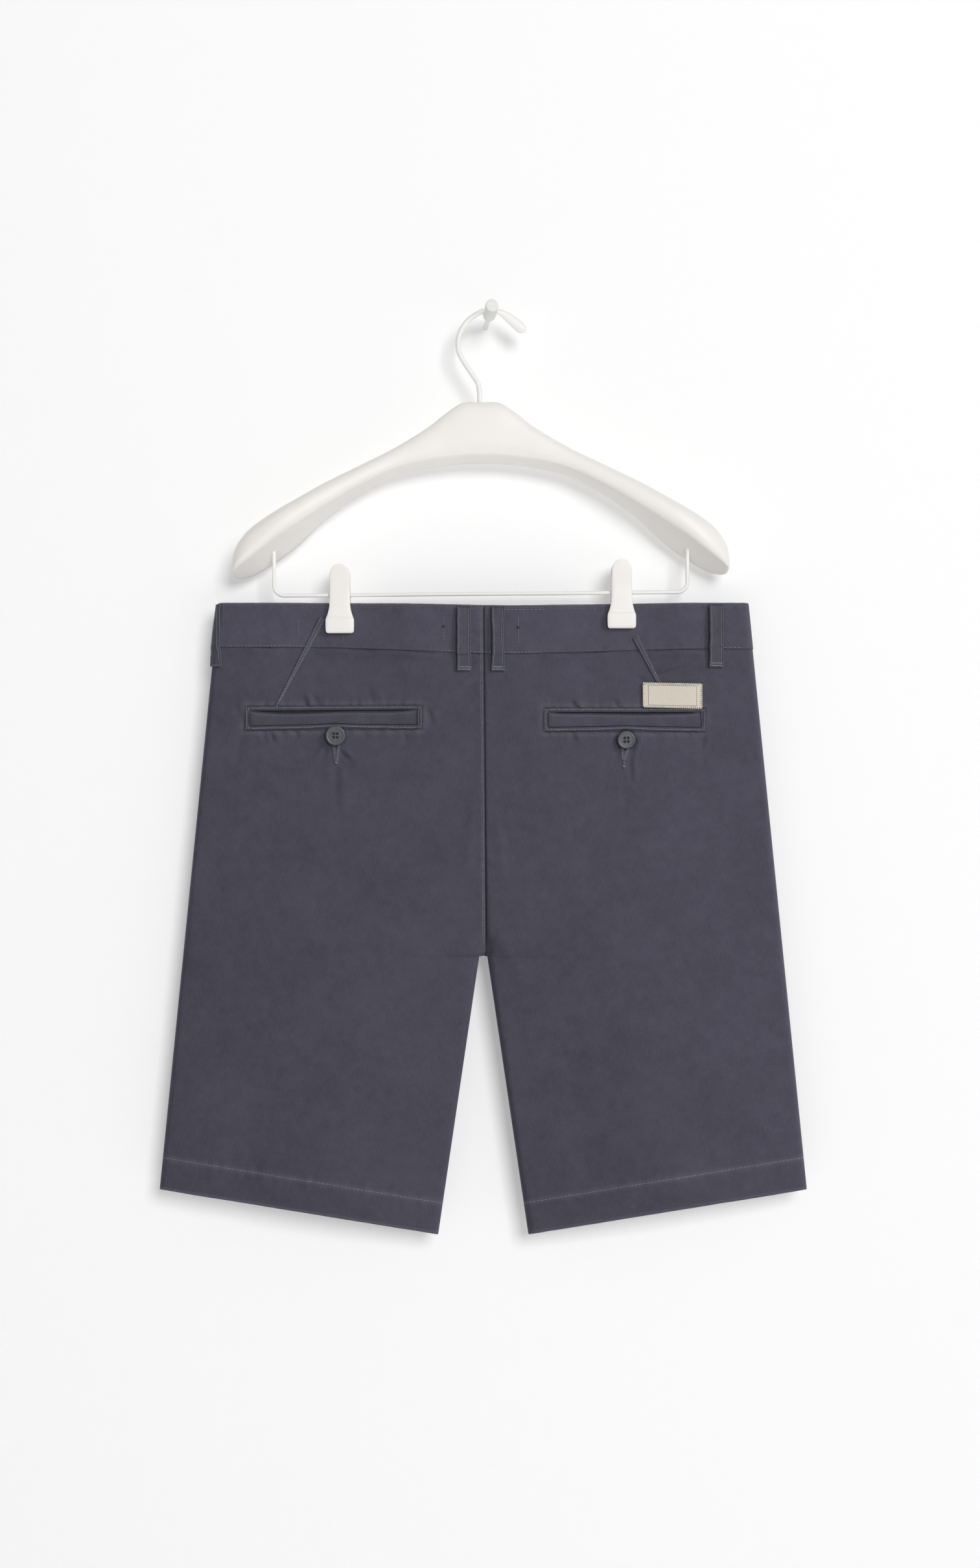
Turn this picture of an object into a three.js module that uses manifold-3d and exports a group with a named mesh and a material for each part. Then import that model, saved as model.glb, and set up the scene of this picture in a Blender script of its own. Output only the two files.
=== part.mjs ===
// Men's bermuda shorts of cotton twill, clipped by the waistband to a broad-shouldered hanger that hangs on a
// short wall peg, with the back of the shorts turned to the room.
// Millimetres, +Z up. The wall is the plane y = 0 and the room lies on the -Y side. The origin is the middle of
// the peg's end face on the wall. Left and right are the wearer's, so left is -X.
import * as THREE from "three";
import { mergeVertices } from "three/addons/utils/BufferGeometryUtils.js";
import Module from "manifold-3d";

// ---- Driving dimensions of the shorts, as they lie when flat -----------------------------------------------
const WAIST_HALF = 212.8; // centre back to the side fold, along the waist edge
const HEM_OUTER_HALF = 259.9; // centre line to the outer corner of a hem
const HEM_INNER_HALF = 36.1; // centre line to the inner corner of a hem
const FORK_HALF = 3.2; // half the width of the notch where the legs part
const FORK_DROP = 283.2; // waist edge down to the fork
const SIDE_DROP = 469.7; // waist edge down to the outer hem corner
const INSEAM_DROP = 506; // waist edge down to the inner hem corner
const TILT_FROM = 110; // above this drop the rows of the cloth are level, below it they turn to the hem's slope
const BAND_SIDE = { left: 34.7, right: 36.1 }; // height of the waistband at each side fold
const BAND_CENTRE = 38.9; // and at its deepest
const BAND_DEEPEST = 15; // which lies this far right of the centre line
const HEM_DEPTH = 29; // turned-up hem
const HEM_RISE = 0.19; // share of its own bulge by which the cloth draws up the hem

// ---- Cloth thicknesses and clearances ----------------------------------------------------------------------
const GAP = 0.3; // left open at every seam and under every piece that lies on another
const CLOTH = 1.2; // one layer
const HEM_CLOTH = 2.4; // turned-up hem
const BAND_CLOTH = 2.2; // waistband
const BAND_PROUD = 0.5; // the waistband stands this far above the panels
const TRIM_CLOTH = 0.9; // welts, darts, loops and other pieces sewn on top
const FACET = 0.25; // how far a flat facet of the cloth can stand off its own curved surface
const FOLD_RADIUS = 5; // roll of the cloth at the side folds and inseams
const PINCHED = 1.9; // half depth of the shorts between the jaws of a clip

// ---- Places ------------------------------------------------------------------------------------------------
const HANG_Y = -28; // plane of the hook, the bar and the middle of the shorts
const WAIST_Z = -227.6; // waist edge at the clips
const WAIST_DIP = 0.4; // how far the waist edge lies below that all round
const WAIST_SAG = 2.1; // and how much lower still where it sags between the clips
const SAG_AT = 25; // the place that hangs lowest
const SAG_REACH = 78;
const SAG_DEPTH = 78; // drop at which the cloth has taken it up
const SHORTS_X = -1.8; // centre line of the shorts
const HANGER_X = -3.8; // centre line of the hanger
const HANGER_SLOPE = Math.tan(THREE.MathUtils.degToRad(0.5)); // it hangs a little lower on the left
const CLIP_SPREAD = 113; // hanger's centre line to a clip's
const CLIP_HALF = 11.5; // half the width of a clip's jaw
const CLIP_BITE = 25; // how far a clip reaches below its own z = 0
const CLIP_RAISE = { left: 1.1, right: 5 }; // a clip's own z = 0 above the waist edge
const BAR_Z = -219.7; // under the hook
const BAR_RADIUS = 1.6;

const TWILL = "#4a4955";
const TRIM_TWILL = "#53535f";

const FACING = { back: -1, front: 1 }; // direction of y in which each side of the shorts bulges

// How far the cloth bulges from the middle plane, at the widest place of each level.
const SECTIONS = [
  { drop: 0, back: 7.5, front: 6.5 },
  { drop: 36, back: 8.5, front: 7.5 },
  { drop: 90, back: 11, front: 9 },
  { drop: 170, back: 13, front: 10.5 },
  { drop: 290, back: 13.5, front: 11 },
  { drop: 400, back: 13, front: 10.5 },
  { drop: 510, back: 12.5, front: 10.5 },
];

// The largest soft folds: a ridge (or, where height is negative, a trough) from one point to another.
const FOLDS = [
  { side: "back", x1: -30, drop1: 262, x2: -128, drop2: 214, width: 15, height: -1.3 },
  { side: "back", x1: 28, drop1: 258, x2: 118, drop2: 222, width: 17, height: -1.1 },
  { side: "back", x1: -96, drop1: 318, x2: -128, drop2: 505, width: 24, height: 1.8 },
  { side: "back", x1: -176, drop1: 350, x2: -196, drop2: 500, width: 20, height: -1.4 },
  { side: "back", x1: 120, drop1: 330, x2: 148, drop2: 505, width: 26, height: 1.6 },
  { side: "back", x1: 72, drop1: 345, x2: 84, drop2: 500, width: 18, height: -1.2 },
  { side: "front", x1: -24, drop1: 256, x2: -120, drop2: 205, width: 15, height: -1.2 },
  { side: "front", x1: 26, drop1: 262, x2: 132, drop2: 218, width: 16, height: -1.3 },
  { side: "front", x1: -118, drop1: 325, x2: -150, drop2: 505, width: 25, height: 1.6 },
  { side: "front", x1: 104, drop1: 320, x2: 126, drop2: 505, width: 22, height: 1.7 },
];

// Drops of the rows of a leg panel, measured down its inner edge. The first row follows the waistband.
const PANEL_ROWS = [
  36, 53, 71, 89, 110, 138, 170, 203, 232, 254, 268, 277, 282.4, FORK_DROP, 298, 330, 365, 405, 445,
  INSEAM_DROP - HEM_DEPTH - 1, INSEAM_DROP - HEM_DEPTH, INSEAM_DROP,
];
// Places across a leg panel, as shares of its width: close together at both rolled edges, even between them.
const ROLL_SHARES = [0, 0.0055, 0.0145, 0.03, 0.058];
const EVEN_STEPS = 11;

const clamp = (value, low = 0, high = 1) => Math.min(high, Math.max(low, value));
const lerp = THREE.MathUtils.lerp;
const { smoothstep, degToRad } = THREE.MathUtils;

// Smooth curve through one column of a table, whose rows are in order of the column named by.
function along(table, by, column, at) {
  const last = table.length - 1;
  const i = clamp(table.findLastIndex((row) => row[by] <= at), 0, last - 1);
  const slope = (k) => {
    const a = table[clamp(k - 1, 0, last)];
    const b = table[clamp(k + 1, 0, last)];
    return (b[column] - a[column]) / (b[by] - a[by]);
  };
  const [p, q] = [table[i], table[i + 1]];
  const span = q[by] - p[by];
  const t = clamp((at - p[by]) / span);
  const bend = t * t * (3 - 2 * t);
  const leave = t * (1 - t) * (1 - t) * span * slope(i);
  const arrive = t * t * (t - 1) * span * slope(i + 1);
  return lerp(p[column], q[column], bend) + leave + arrive;
}

// ---- The surface of the shorts, as a half depth over the flat outline ---------------------------------------
const outerEdge = (drop) => lerp(WAIST_HALF, HEM_OUTER_HALF, drop / SIDE_DROP);

function innerEdge(drop) {
  if (drop < FORK_DROP - 0.5) return 0;
  return lerp(FORK_HALF, HEM_INNER_HALF, clamp((drop - FORK_DROP) / (INSEAM_DROP - FORK_DROP)));
}

// 1 where back and front stand apart at the centre line, falling in a quarter ellipse to 0 at the fork.
function centreOpen(drop) {
  const t = clamp((drop - TILT_FROM) / (FORK_DROP - TILT_FROM));
  return Math.sqrt(1 - t * t);
}

// Quarter circle from 0 at the edge to 1 at a distance of one radius.
const roll = (ratio) => Math.sqrt(1 - (1 - clamp(ratio)) ** 2);

function foldsAt(side, x, drop) {
  let height = 0;
  for (const fold of FOLDS) {
    if (fold.side !== side) continue;
    const dx = fold.x2 - fold.x1;
    const dd = fold.drop2 - fold.drop1;
    const length = Math.hypot(dx, dd);
    const t = ((x - fold.x1) * dx + (drop - fold.drop1) * dd) / length ** 2;
    const off = ((x - fold.x1) * dd - (drop - fold.drop1) * dx) / length;
    const fade = smoothstep(t, -0.15, 0.35) * (1 - 0.5 * smoothstep(t, 0.65, 1.15));
    height += fold.height * fade * Math.exp(-((off / fold.width) ** 2));
  }
  return height;
}

// 1 under the jaws of a clip, fading over the cloth around them.
function clipGrip(x, drop) {
  const off = Math.abs(Math.abs(x - (HANGER_X - SHORTS_X)) - CLIP_SPREAD);
  const beside = 1 - smoothstep(off, CLIP_HALF + 2, CLIP_HALF + 46);
  const below = 1 - smoothstep(drop, CLIP_BITE + 1, CLIP_BITE + 75);
  return beside * below;
}

function halfDepth(side, x, drop) {
  const full = along(SECTIONS, "drop", side, drop);
  const outer = outerEdge(drop);
  const inner = innerEdge(drop);
  const open = centreOpen(drop);
  const across = clamp((outer - Math.abs(x)) / (outer - inner));
  const rolled =
    roll((outer - Math.abs(x)) / FOLD_RADIUS) * lerp(roll((Math.abs(x) - inner) / FOLD_RADIUS), 1, open);
  const arch = lerp(Math.sin(Math.PI * across), Math.sin((Math.PI / 2) * across), open);
  const free = FOLD_RADIUS * rolled + (full - FOLD_RADIUS) * arch + foldsAt(side, x, drop) * rolled;
  return lerp(free, PINCHED, clipGrip(x, drop));
}

// Drop of the waistband's lower edge.
function bandBottom(x) {
  const atSide = x < 0 ? BAND_SIDE.left : BAND_SIDE.right;
  return lerp(BAND_CENTRE, atSide, smoothstep(Math.abs(x - BAND_DEEPEST), 0, 150));
}

// How far the waist has sunk.
function sag(x, drop) {
  const between = WAIST_SAG * Math.exp(-(((x - SAG_AT) / SAG_REACH) ** 2));
  return (WAIST_DIP + between) * (1 - smoothstep(drop, 0, SAG_DEPTH));
}

// A point over the cloth: outward is its distance from the middle plane.
const place = (side, x, drop, outward) =>
  new THREE.Vector3(SHORTS_X + x, HANG_Y + FACING[side] * outward, WAIST_Z - drop - sag(x, drop));

// A point on the outside of panel or waistband, whichever is there, moved out by lift.
function lay(side, x, drop, lift) {
  const step = 1 - smoothstep(drop - bandBottom(x), 0.3, 4);
  return place(side, x, drop, GAP / 2 + halfDepth(side, x, drop) + BAND_PROUD * step + lift);
}

// ---- Solids from grids of points ---------------------------------------------------------------------------
const grid = (rows, columns, at) =>
  Array.from({ length: rows }, (_, i) => Array.from({ length: columns }, (_, j) => at(i, j)));

function geometryOf(points, triangles) {
  const geometry = new THREE.BufferGeometry().setFromPoints(points).setIndex(triangles);
  const [a, b, c] = [new THREE.Vector3(), new THREE.Vector3(), new THREE.Vector3()];
  let volume = 0;
  for (let i = 0; i < triangles.length; i += 3) {
    a.copy(points[triangles[i]]);
    b.copy(points[triangles[i + 1]]);
    c.copy(points[triangles[i + 2]]);
    volume += a.dot(b.cross(c));
  }
  if (volume < 0) geometry.index.array.reverse(); // faces turned to point out
  return geometry;
}

// The closed wall between an outer and an inner grid. A looped wall joins its last row to its first.
function wall(outer, inner, looped = false) {
  const rows = outer.length;
  const columns = outer[0].length;
  const triangles = [];
  const index = (layer, i, j) => (layer * rows + (i % rows)) * columns + j;
  const quad = (a, b, c, d) => triangles.push(a, b, c, a, c, d);
  const spans = looped ? rows : rows - 1;
  for (let i = 0; i < spans; i++) {
    for (let j = 0; j < columns - 1; j++) {
      quad(index(0, i, j), index(0, i + 1, j), index(0, i + 1, j + 1), index(0, i, j + 1));
      quad(index(1, i, j), index(1, i, j + 1), index(1, i + 1, j + 1), index(1, i + 1, j));
    }
    const end = columns - 1;
    quad(index(0, i, 0), index(1, i, 0), index(1, i + 1, 0), index(0, i + 1, 0));
    quad(index(0, i, end), index(0, i + 1, end), index(1, i + 1, end), index(1, i, end));
  }
  for (let j = 0; j < columns - 1 && !looped; j++) {
    const end = rows - 1;
    quad(index(0, 0, j), index(0, 0, j + 1), index(1, 0, j + 1), index(1, 0, j));
    quad(index(0, end, j), index(1, end, j), index(1, end, j + 1), index(0, end, j + 1));
  }
  return geometryOf([...outer.flat(), ...inner.flat()], triangles);
}

// Each point of a grid moved inwards by its own thickness, kept on its own side of the seams. Inwards is the
// side of the grid's normals that faces the middle plane at the grid's centre.
function inwards(outer, thickness, keep) {
  const last = { i: outer.length - 1, j: outer[0].length - 1 };
  const at = (i, j) => outer[clamp(i, 0, last.i)][clamp(j, 0, last.j)];
  const normal = (i, j) =>
    new THREE.Vector3()
      .subVectors(at(i, j + 1), at(i, j - 1))
      .cross(new THREE.Vector3().subVectors(at(i + 1, j), at(i - 1, j)))
      .normalize();
  const probe = { i: Math.round(last.i / 2), j: Math.round(last.j / 4) };
  const towards = HANG_Y - at(probe.i, probe.j).y;
  const sign = Math.sign(normal(probe.i, probe.j).y * towards);
  return outer.map((row, i) =>
    row.map((point, j) => keep(point.clone().addScaledVector(normal(i, j), sign * thickness(i)))),
  );
}

// A tube of rings round points that lie in the plane y = HANG_Y: radiusAt takes a share of the points and gives
// the half width in that plane, and thick is the half width across it.
function rod(points, sides, radiusAt, thick) {
  const last = points.length - 1;
  const rings = grid(points.length, sides, (i, k) => {
    const along = points[Math.min(i + 1, last)].clone().sub(points[Math.max(i - 1, 0)]).normalize();
    const across = new THREE.Vector3(-along.z, 0, along.x);
    const angle = (2 * Math.PI * (k + 0.5)) / sides;
    const radius = radiusAt(i / last);
    return points[i]
      .clone()
      .addScaledVector(across, radius * Math.cos(angle))
      .add(new THREE.Vector3(0, Math.min(radius, thick) * Math.sin(angle), 0));
  });
  return tubeOf(rings);
}

// A closed tube through rings of points, with a flat cap at each end.
function tubeOf(rings) {
  const sides = rings[0].length;
  const triangles = [];
  for (let i = 0; i < rings.length - 1; i++) {
    for (let k = 0; k < sides; k++) {
      const [a, b] = [i * sides + k, i * sides + ((k + 1) % sides)];
      triangles.push(a, b, b + sides, a, b + sides, a + sides);
    }
  }
  const end = (rings.length - 1) * sides;
  for (let k = 1; k < sides - 1; k++) {
    triangles.push(0, k + 1, k, end, end + k, end + k + 1);
  }
  return geometryOf(rings.flat(), triangles);
}

// ---- Booleans ----------------------------------------------------------------------------------------------
const wasm = await Module();
wasm.setup();

function solid(geometry) {
  const bare = geometry.clone();
  bare.deleteAttribute("normal");
  bare.deleteAttribute("uv");
  const merged = mergeVertices(bare, 1e-4);
  const triVerts = new Uint32Array(merged.index.array);
  const mesh = new wasm.Mesh({ numProp: 3, vertProperties: merged.attributes.position.array, triVerts });
  return new wasm.Manifold(mesh);
}

function geometryFrom(manifold) {
  const mesh = manifold.getMesh();
  return new THREE.BufferGeometry()
    .setAttribute("position", new THREE.BufferAttribute(mesh.vertProperties, 3))
    .setIndex(new THREE.BufferAttribute(mesh.triVerts, 1));
}

// ---- The scene ---------------------------------------------------------------------------------------------
const shorts = new THREE.Group();
const hanger = new THREE.Group();

function add(group, name, geometry, color, roughness = 0.85, metalness = 0) {
  const mesh = new THREE.Mesh(geometry, new THREE.MeshStandardMaterial({ color, roughness, metalness }));
  mesh.name = name;
  group.add(mesh);
}

const SIDES = { left: -1, right: 1 };

// ---- Leg panels --------------------------------------------------------------------------------------------
function acrossShares() {
  const last = ROLL_SHARES.length - 1;
  const start = ROLL_SHARES[last];
  const even = Array.from({ length: EVEN_STEPS - 1 }, (_, k) => lerp(start, 1 - start, (k + 1) / EVEN_STEPS));
  return [...ROLL_SHARES, ...even, ...ROLL_SHARES.toReversed().map((share) => 1 - share)];
}

function legPanel(side, sign) {
  const shares = acrossShares();
  const outer = grid(PANEL_ROWS.length, shares.length, (i, j) => {
    const innerDrop = PANEL_ROWS[i];
    const tilt = (INSEAM_DROP - SIDE_DROP) * clamp((innerDrop - TILT_FROM) / (INSEAM_DROP - TILT_FROM));
    const outerDrop = innerDrop - tilt;
    const x = lerp(outerEdge(outerDrop), Math.max(innerEdge(innerDrop), GAP / 2), shares[j]);
    const flat = i === 0 ? bandBottom(sign * x) + 1.4 * GAP : lerp(outerDrop, innerDrop, shares[j]);
    const depth = halfDepth(side, sign * x, flat);
    const rise = HEM_RISE * depth * smoothstep(innerDrop, FORK_DROP, INSEAM_DROP);
    return place(side, sign * x, flat - rise, GAP / 2 + depth);
  });
  const thickness = (i) => (PANEL_ROWS[i] >= INSEAM_DROP - HEM_DEPTH ? HEM_CLOTH : CLOTH);
  const keep = (point) => {
    point.y = HANG_Y + FACING[side] * Math.max(FACING[side] * (point.y - HANG_Y), GAP / 2);
    point.x = SHORTS_X + sign * Math.max(sign * (point.x - SHORTS_X), GAP / 2);
    return point;
  };
  return wall(outer, inwards(outer, thickness, keep));
}

for (const [name, sign] of Object.entries(SIDES)) {
  add(shorts, `back_panel_${name}`, legPanel("back", sign), TWILL);
  add(shorts, `front_panel_${name}`, legPanel("front", sign), TWILL);
}

// ---- Waistband: each half runs from centre back, round the side fold, to centre front -----------------------
const BAND_ROWS = [0, 0.03, 0.34, 0.68, 1]; // shares of its height

function waistbandHalf(sign) {
  const half = acrossShares();
  const stations = [
    ...half.toReversed().map((share) => ({ side: "back", share })),
    ...half.slice(1).map((share) => ({ side: "front", share })),
  ];
  const outer = grid(BAND_ROWS.length, stations.length, (i, j) => {
    const { side, share } = stations[j];
    const level = lerp(outerEdge(0), GAP / 2, share);
    const drop = BAND_ROWS[i] * bandBottom(sign * level);
    const x = lerp(outerEdge(drop), GAP / 2, share);
    const proud = BAND_PROUD * roll((1.4 * share) / ROLL_SHARES.at(-1));
    const depth = share === 0 ? 0 : GAP / 2 + halfDepth(side, sign * x, drop) + proud;
    return place(side, sign * (x + BAND_PROUD * (1 - share)), drop, depth);
  });
  const keep = (point) => {
    point.x = SHORTS_X + sign * Math.max(sign * (point.x - SHORTS_X), GAP / 2);
    return point;
  };
  return wall(outer, inwards(outer, () => BAND_CLOTH, keep));
}

for (const [name, sign] of Object.entries(SIDES)) {
  add(shorts, `waistband_${name}`, waistbandHalf(sign), TWILL);
}

// ---- Pieces that lie on the cloth --------------------------------------------------------------------------
// A patch of cloth over the panels: at(u, v) gives x and drop for shares u down and v across.
function patch(side, rows, columns, at, { lift = GAP + FACET, thickness = TRIM_CLOTH } = {}) {
  const layer = (extra) =>
    grid(rows, columns, (i, j) => {
      const { x, drop } = at(i / (rows - 1), j / (columns - 1));
      return lay(side, x, drop, lift + extra);
    });
  return wall(layer(thickness), layer(0));
}

// Back welt pockets: a stitched frame round a slit that the welt nearly fills.
const POCKETS = {
  left: { x: -119.6, drop: 91.95, width: 141, height: 18.3, slant: -0.006 },
  right: { x: 113.1, drop: 93.55, width: 129, height: 18.3, slant: 0 },
};
const FRAME_WIDTH = 3.2;
const WELT_SLIT = 2.4; // slit left open over the welt
const FRAME_CLOTH = 0.8;

function pocketFrame({ x, drop, width, height, slant }) {
  const steps = 12;
  const corners = [
    [-1, -1, steps],
    [1, -1, 2],
    [1, 1, steps],
    [-1, 1, 2],
  ];
  const ring = corners.flatMap(([cx, cd, count], k) => {
    const [nx, nd] = corners[(k + 1) % corners.length];
    return Array.from({ length: count }, (_, i) => [lerp(cx, nx, i / count), lerp(cd, nd, i / count)]);
  });
  const layer = (lift) =>
    grid(ring.length, 2, (i, j) => {
      const [u, v] = ring[i];
      const inset = j * FRAME_WIDTH;
      const along = u * (width / 2 - inset);
      return lay("back", x + along, drop + slant * along + v * (height / 2 - inset), GAP + FACET + lift);
    });
  return wall(layer(FRAME_CLOTH), layer(0), true);
}

function pocketWelt({ x, drop, width, height, slant }) {
  const half = width / 2 - FRAME_WIDTH - GAP;
  const top = drop - height / 2 + FRAME_WIDTH + WELT_SLIT;
  const bottom = drop + height / 2 - FRAME_WIDTH - GAP;
  return patch("back", 3, 13, (u, v) => {
    const along = lerp(-half, half, v);
    return { x: x + along, drop: lerp(top, bottom, u) + slant * along };
  });
}

// Back darts: a slanting stitched ridge from the waistband down to the pocket.
const DARTS = {
  left: { x1: -129.4, drop1: 12, x2: -165.1, drop2: 82 },
  right: { x1: 122.3, drop1: 26.5, x2: 150.5, drop2: 83.6 },
};
const DART_RISE = 0.6; // a dart's ridge stands off the cloth
const DART_TOP = 5;
const DART_FOOT = 2.2;

const dart = ({ x1, drop1, x2, drop2 }) =>
  patch(
    "back",
    13,
    2,
    (u, v) => ({ x: lerp(x1, x2, u) + (v - 0.5) * lerp(DART_TOP, DART_FOOT, u), drop: lerp(drop1, drop2, u) }),
    { lift: GAP + DART_RISE },
  );

// Buttons with a raised rim and four thread holes.
const WAIST_BUTTON_RADIUS = 8;
const BUTTON_THICKNESS = 2.6;
const BUTTON_HOLE = 0.95;
const BUTTON_HOLE_OFF = 1.4;
const BUTTONS = {
  left: { x: -118, drop: 106.2, radius: 8 },
  right: { x: 114.1, drop: 109.6, radius: 7.2 },
};
const BUTTON_COLOUR = "#4b4f55";

function button(side, x, drop, radius) {
  const rim = 0.12 * radius;
  const profile = [
    [0, 0],
    [radius - rim, 0],
    [radius, rim],
    [radius, BUTTON_THICKNESS - rim],
    [radius - rim, BUTTON_THICKNESS],
    [radius - 2 * rim, BUTTON_THICKNESS],
    [radius - 3 * rim, BUTTON_THICKNESS - 0.7 * rim],
    [0, BUTTON_THICKNESS - 0.7 * rim],
  ].map(([r, h]) => new THREE.Vector2(r, h));
  let disc = solid(new THREE.LatheGeometry(profile, 24));
  for (const [a, b] of [[-1, -1], [-1, 1], [1, -1], [1, 1]]) {
    const hole = new THREE.CylinderGeometry(BUTTON_HOLE, BUTTON_HOLE, 4 * BUTTON_THICKNESS, 8);
    hole.translate(a * BUTTON_HOLE_OFF, 0, b * BUTTON_HOLE_OFF);
    disc = disc.subtract(solid(hole));
  }
  const geometry = geometryFrom(disc);
  return side === "back" ? geometry.rotateX(Math.PI) : geometry;
}

// The height that a flat disc must be lifted to so that it clears the curved cloth under it.
function clearLift(side, x, drop, radius) {
  const ring = Array.from({ length: 12 }, (_, k) => (k * Math.PI) / 6);
  const heights = ring.map((a) => lay(side, x + radius * Math.cos(a), drop + radius * Math.sin(a), 0).y);
  const own = lay(side, x, drop, 0).y;
  return Math.max(...[own, ...heights].map((y) => FACING[side] * (y - HANG_Y)));
}

function addButton(name, side, x, drop, radius, extra) {
  const outward = clearLift(side, x, drop, radius) + extra;
  const geometry = button(side, x, drop, radius);
  geometry.translate(...place(side, x, drop, outward).toArray());
  add(shorts, name, geometry, BUTTON_COLOUR, 0.45);
}

for (const [name, pocket] of Object.entries(POCKETS)) {
  add(shorts, `pocket_frame_${name}`, pocketFrame(pocket), TRIM_TWILL);
  add(shorts, `pocket_welt_${name}`, pocketWelt(pocket), TWILL);
  add(shorts, `back_dart_${name}`, dart(DARTS[name]), TRIM_TWILL);
  const { x, drop, radius } = BUTTONS[name];
  const overFrame = drop - radius < pocket.drop + pocket.height / 2;
  const under = overFrame ? GAP + FRAME_CLOTH : 0;
  addButton(`pocket_button_${name}`, "back", x, drop, radius, GAP + FACET + under);
}

// Woven label over the right pocket.
const LABEL = { x: 151.4, drop: 74, width: 47, height: 19.6, slant: 0.022 };
add(
  shorts,
  "label_patch",
  patch(
    "back",
    3,
    5,
    (u, v) => ({
      x: LABEL.x + (v - 0.5) * LABEL.width,
      drop: LABEL.drop + (u - 0.5) * LABEL.height + LABEL.slant * (v - 0.5) * LABEL.width,
    }),
    { lift: GAP + DART_RISE + TRIM_CLOTH + 0.4, thickness: 0.7 },
  ),
  "#d8d0be",
);

// Front: slanted pocket mouths and the fly, with one waist button.
const FRONT_POCKET = { x1: 160, drop1: 36, x2: 212, drop2: 168, width: 9 };

const frontPocket = (sign) =>
  patch("front", 11, 2, (u, v) => ({
    x: sign * (lerp(FRONT_POCKET.x1, FRONT_POCKET.x2, u) - (1 - v) * FRONT_POCKET.width),
    drop: lerp(FRONT_POCKET.drop1 + 4, FRONT_POCKET.drop2, u),
  }));

for (const [name, sign] of Object.entries(SIDES)) {
  add(shorts, `front_pocket_${name}`, frontPocket(sign), TRIM_TWILL);
}

const FLY = { edge: 4, width: 38, top: 43, bottom: 190, curve: 42 };

function flyInner(drop) {
  const t = clamp((drop - (FLY.bottom - FLY.curve)) / FLY.curve);
  return FLY.edge - FLY.width * Math.sqrt(Math.max(1 - t * t, 0.02));
}

add(
  shorts,
  "fly",
  patch("front", 14, 5, (u, v) => {
    const drop = lerp(FLY.top, FLY.bottom, Math.sin((u * Math.PI) / 2));
    return { x: lerp(flyInner(drop), FLY.edge, v), drop };
  }),
  TRIM_TWILL,
);
addButton("waist_button", "front", -11, BAND_CENTRE / 2, WAIST_BUTTON_RADIUS, GAP + FACET);

// ---- Belt loops --------------------------------------------------------------------------------------------
const LOOP_WIDTH = 11;
const LOOP_CLOTH = 1.1;
const LOOP_RISE = 1.5; // how far a loop stands off the waistband at its middle
const LOOP_LENGTH = 53;
const LOOP_ROWS = 9;

const loopRise = (u, rise = LOOP_RISE) => GAP + 0.1 + rise * Math.sin(Math.PI * clamp(u)) ** 0.7;

const flatLoop = (side, x) => {
  const layer = (extra) =>
    grid(LOOP_ROWS, 3, (i, j) => {
      const u = i / (LOOP_ROWS - 1);
      return lay(side, x + (j / 2 - 0.5) * LOOP_WIDTH, 0.6 + u * LOOP_LENGTH, loopRise(u) + extra);
    });
  return wall(layer(LOOP_CLOTH), layer(0));
};

const FOLD_LOOP_RISE = 0.4;

// The loop that wraps a side fold, measured along the arc from the fold's tip.
function foldLoop(sign) {
  const columns = 9;
  const centres = [1.2, 5.6]; // arc from the fold to the loop's centre line, at its top and at its foot
  const layer = (extra) =>
    grid(LOOP_ROWS, columns, (i, j) => {
      const u = i / (LOOP_ROWS - 1);
      const drop = 0.6 + u * LOOP_LENGTH;
      const arc = lerp(centres[0], centres[1], u) + (j / (columns - 1) - 0.5) * LOOP_WIDTH;
      return onFold(sign, drop, arc, loopRise(u, FOLD_LOOP_RISE) + extra);
    });
  return wall(layer(LOOP_CLOTH), layer(0));
}

// A point lifted off the side fold, arc millimetres from its tip: positive on the back, negative on the front.
function onFold(sign, drop, arc, lift) {
  const side = arc >= 0 ? "back" : "front";
  const step = 1 - smoothstep(drop - bandBottom(sign * outerEdge(drop)), 0.3, 4);
  const at = (share) => {
    const inset = FOLD_RADIUS * share ** 2;
    const x = outerEdge(drop) - inset;
    const depth = GAP / 2 + halfDepth(side, sign * x, drop) + BAND_PROUD * step * roll(share);
    return new THREE.Vector2(x + BAND_PROUD * step, depth);
  };
  let [share, length, here] = [0, 0, at(0)];
  while (length < Math.abs(arc)) {
    const next = at(share + 0.02);
    length += next.distanceTo(here);
    here = next;
    share += 0.02;
  }
  const ahead = at(share + 0.05).sub(at(Math.max(share - 0.05, 0)));
  if (share === 0) ahead.set(0, 1);
  const normal = new THREE.Vector2(ahead.y, -ahead.x).normalize();
  if (normal.x < 0) normal.negate();
  const flat = new THREE.Vector2(here.x + normal.x * lift, here.y + Math.abs(normal.y) * lift);
  return place(side, sign * flat.x, drop, flat.y);
}

const LOOPS = [
  { name: "belt_loop_back_left", side: "back", x: -15.7 },
  { name: "belt_loop_back_right", side: "back", x: 11.5 },
  { name: "belt_loop_side_right", side: "back", x: 186.4 },
  { name: "belt_loop_front_left", side: "front", x: -66 },
  { name: "belt_loop_front_right", side: "front", x: 66 },
];
for (const { name, side, x } of LOOPS) add(shorts, name, flatLoop(side, x), TRIM_TWILL);
add(shorts, "belt_loop_side_left", foldLoop(SIDES.left), TRIM_TWILL);

// ---- Hanger body -------------------------------------------------------------------------------------------
const WHITE = "#efece6";
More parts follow.
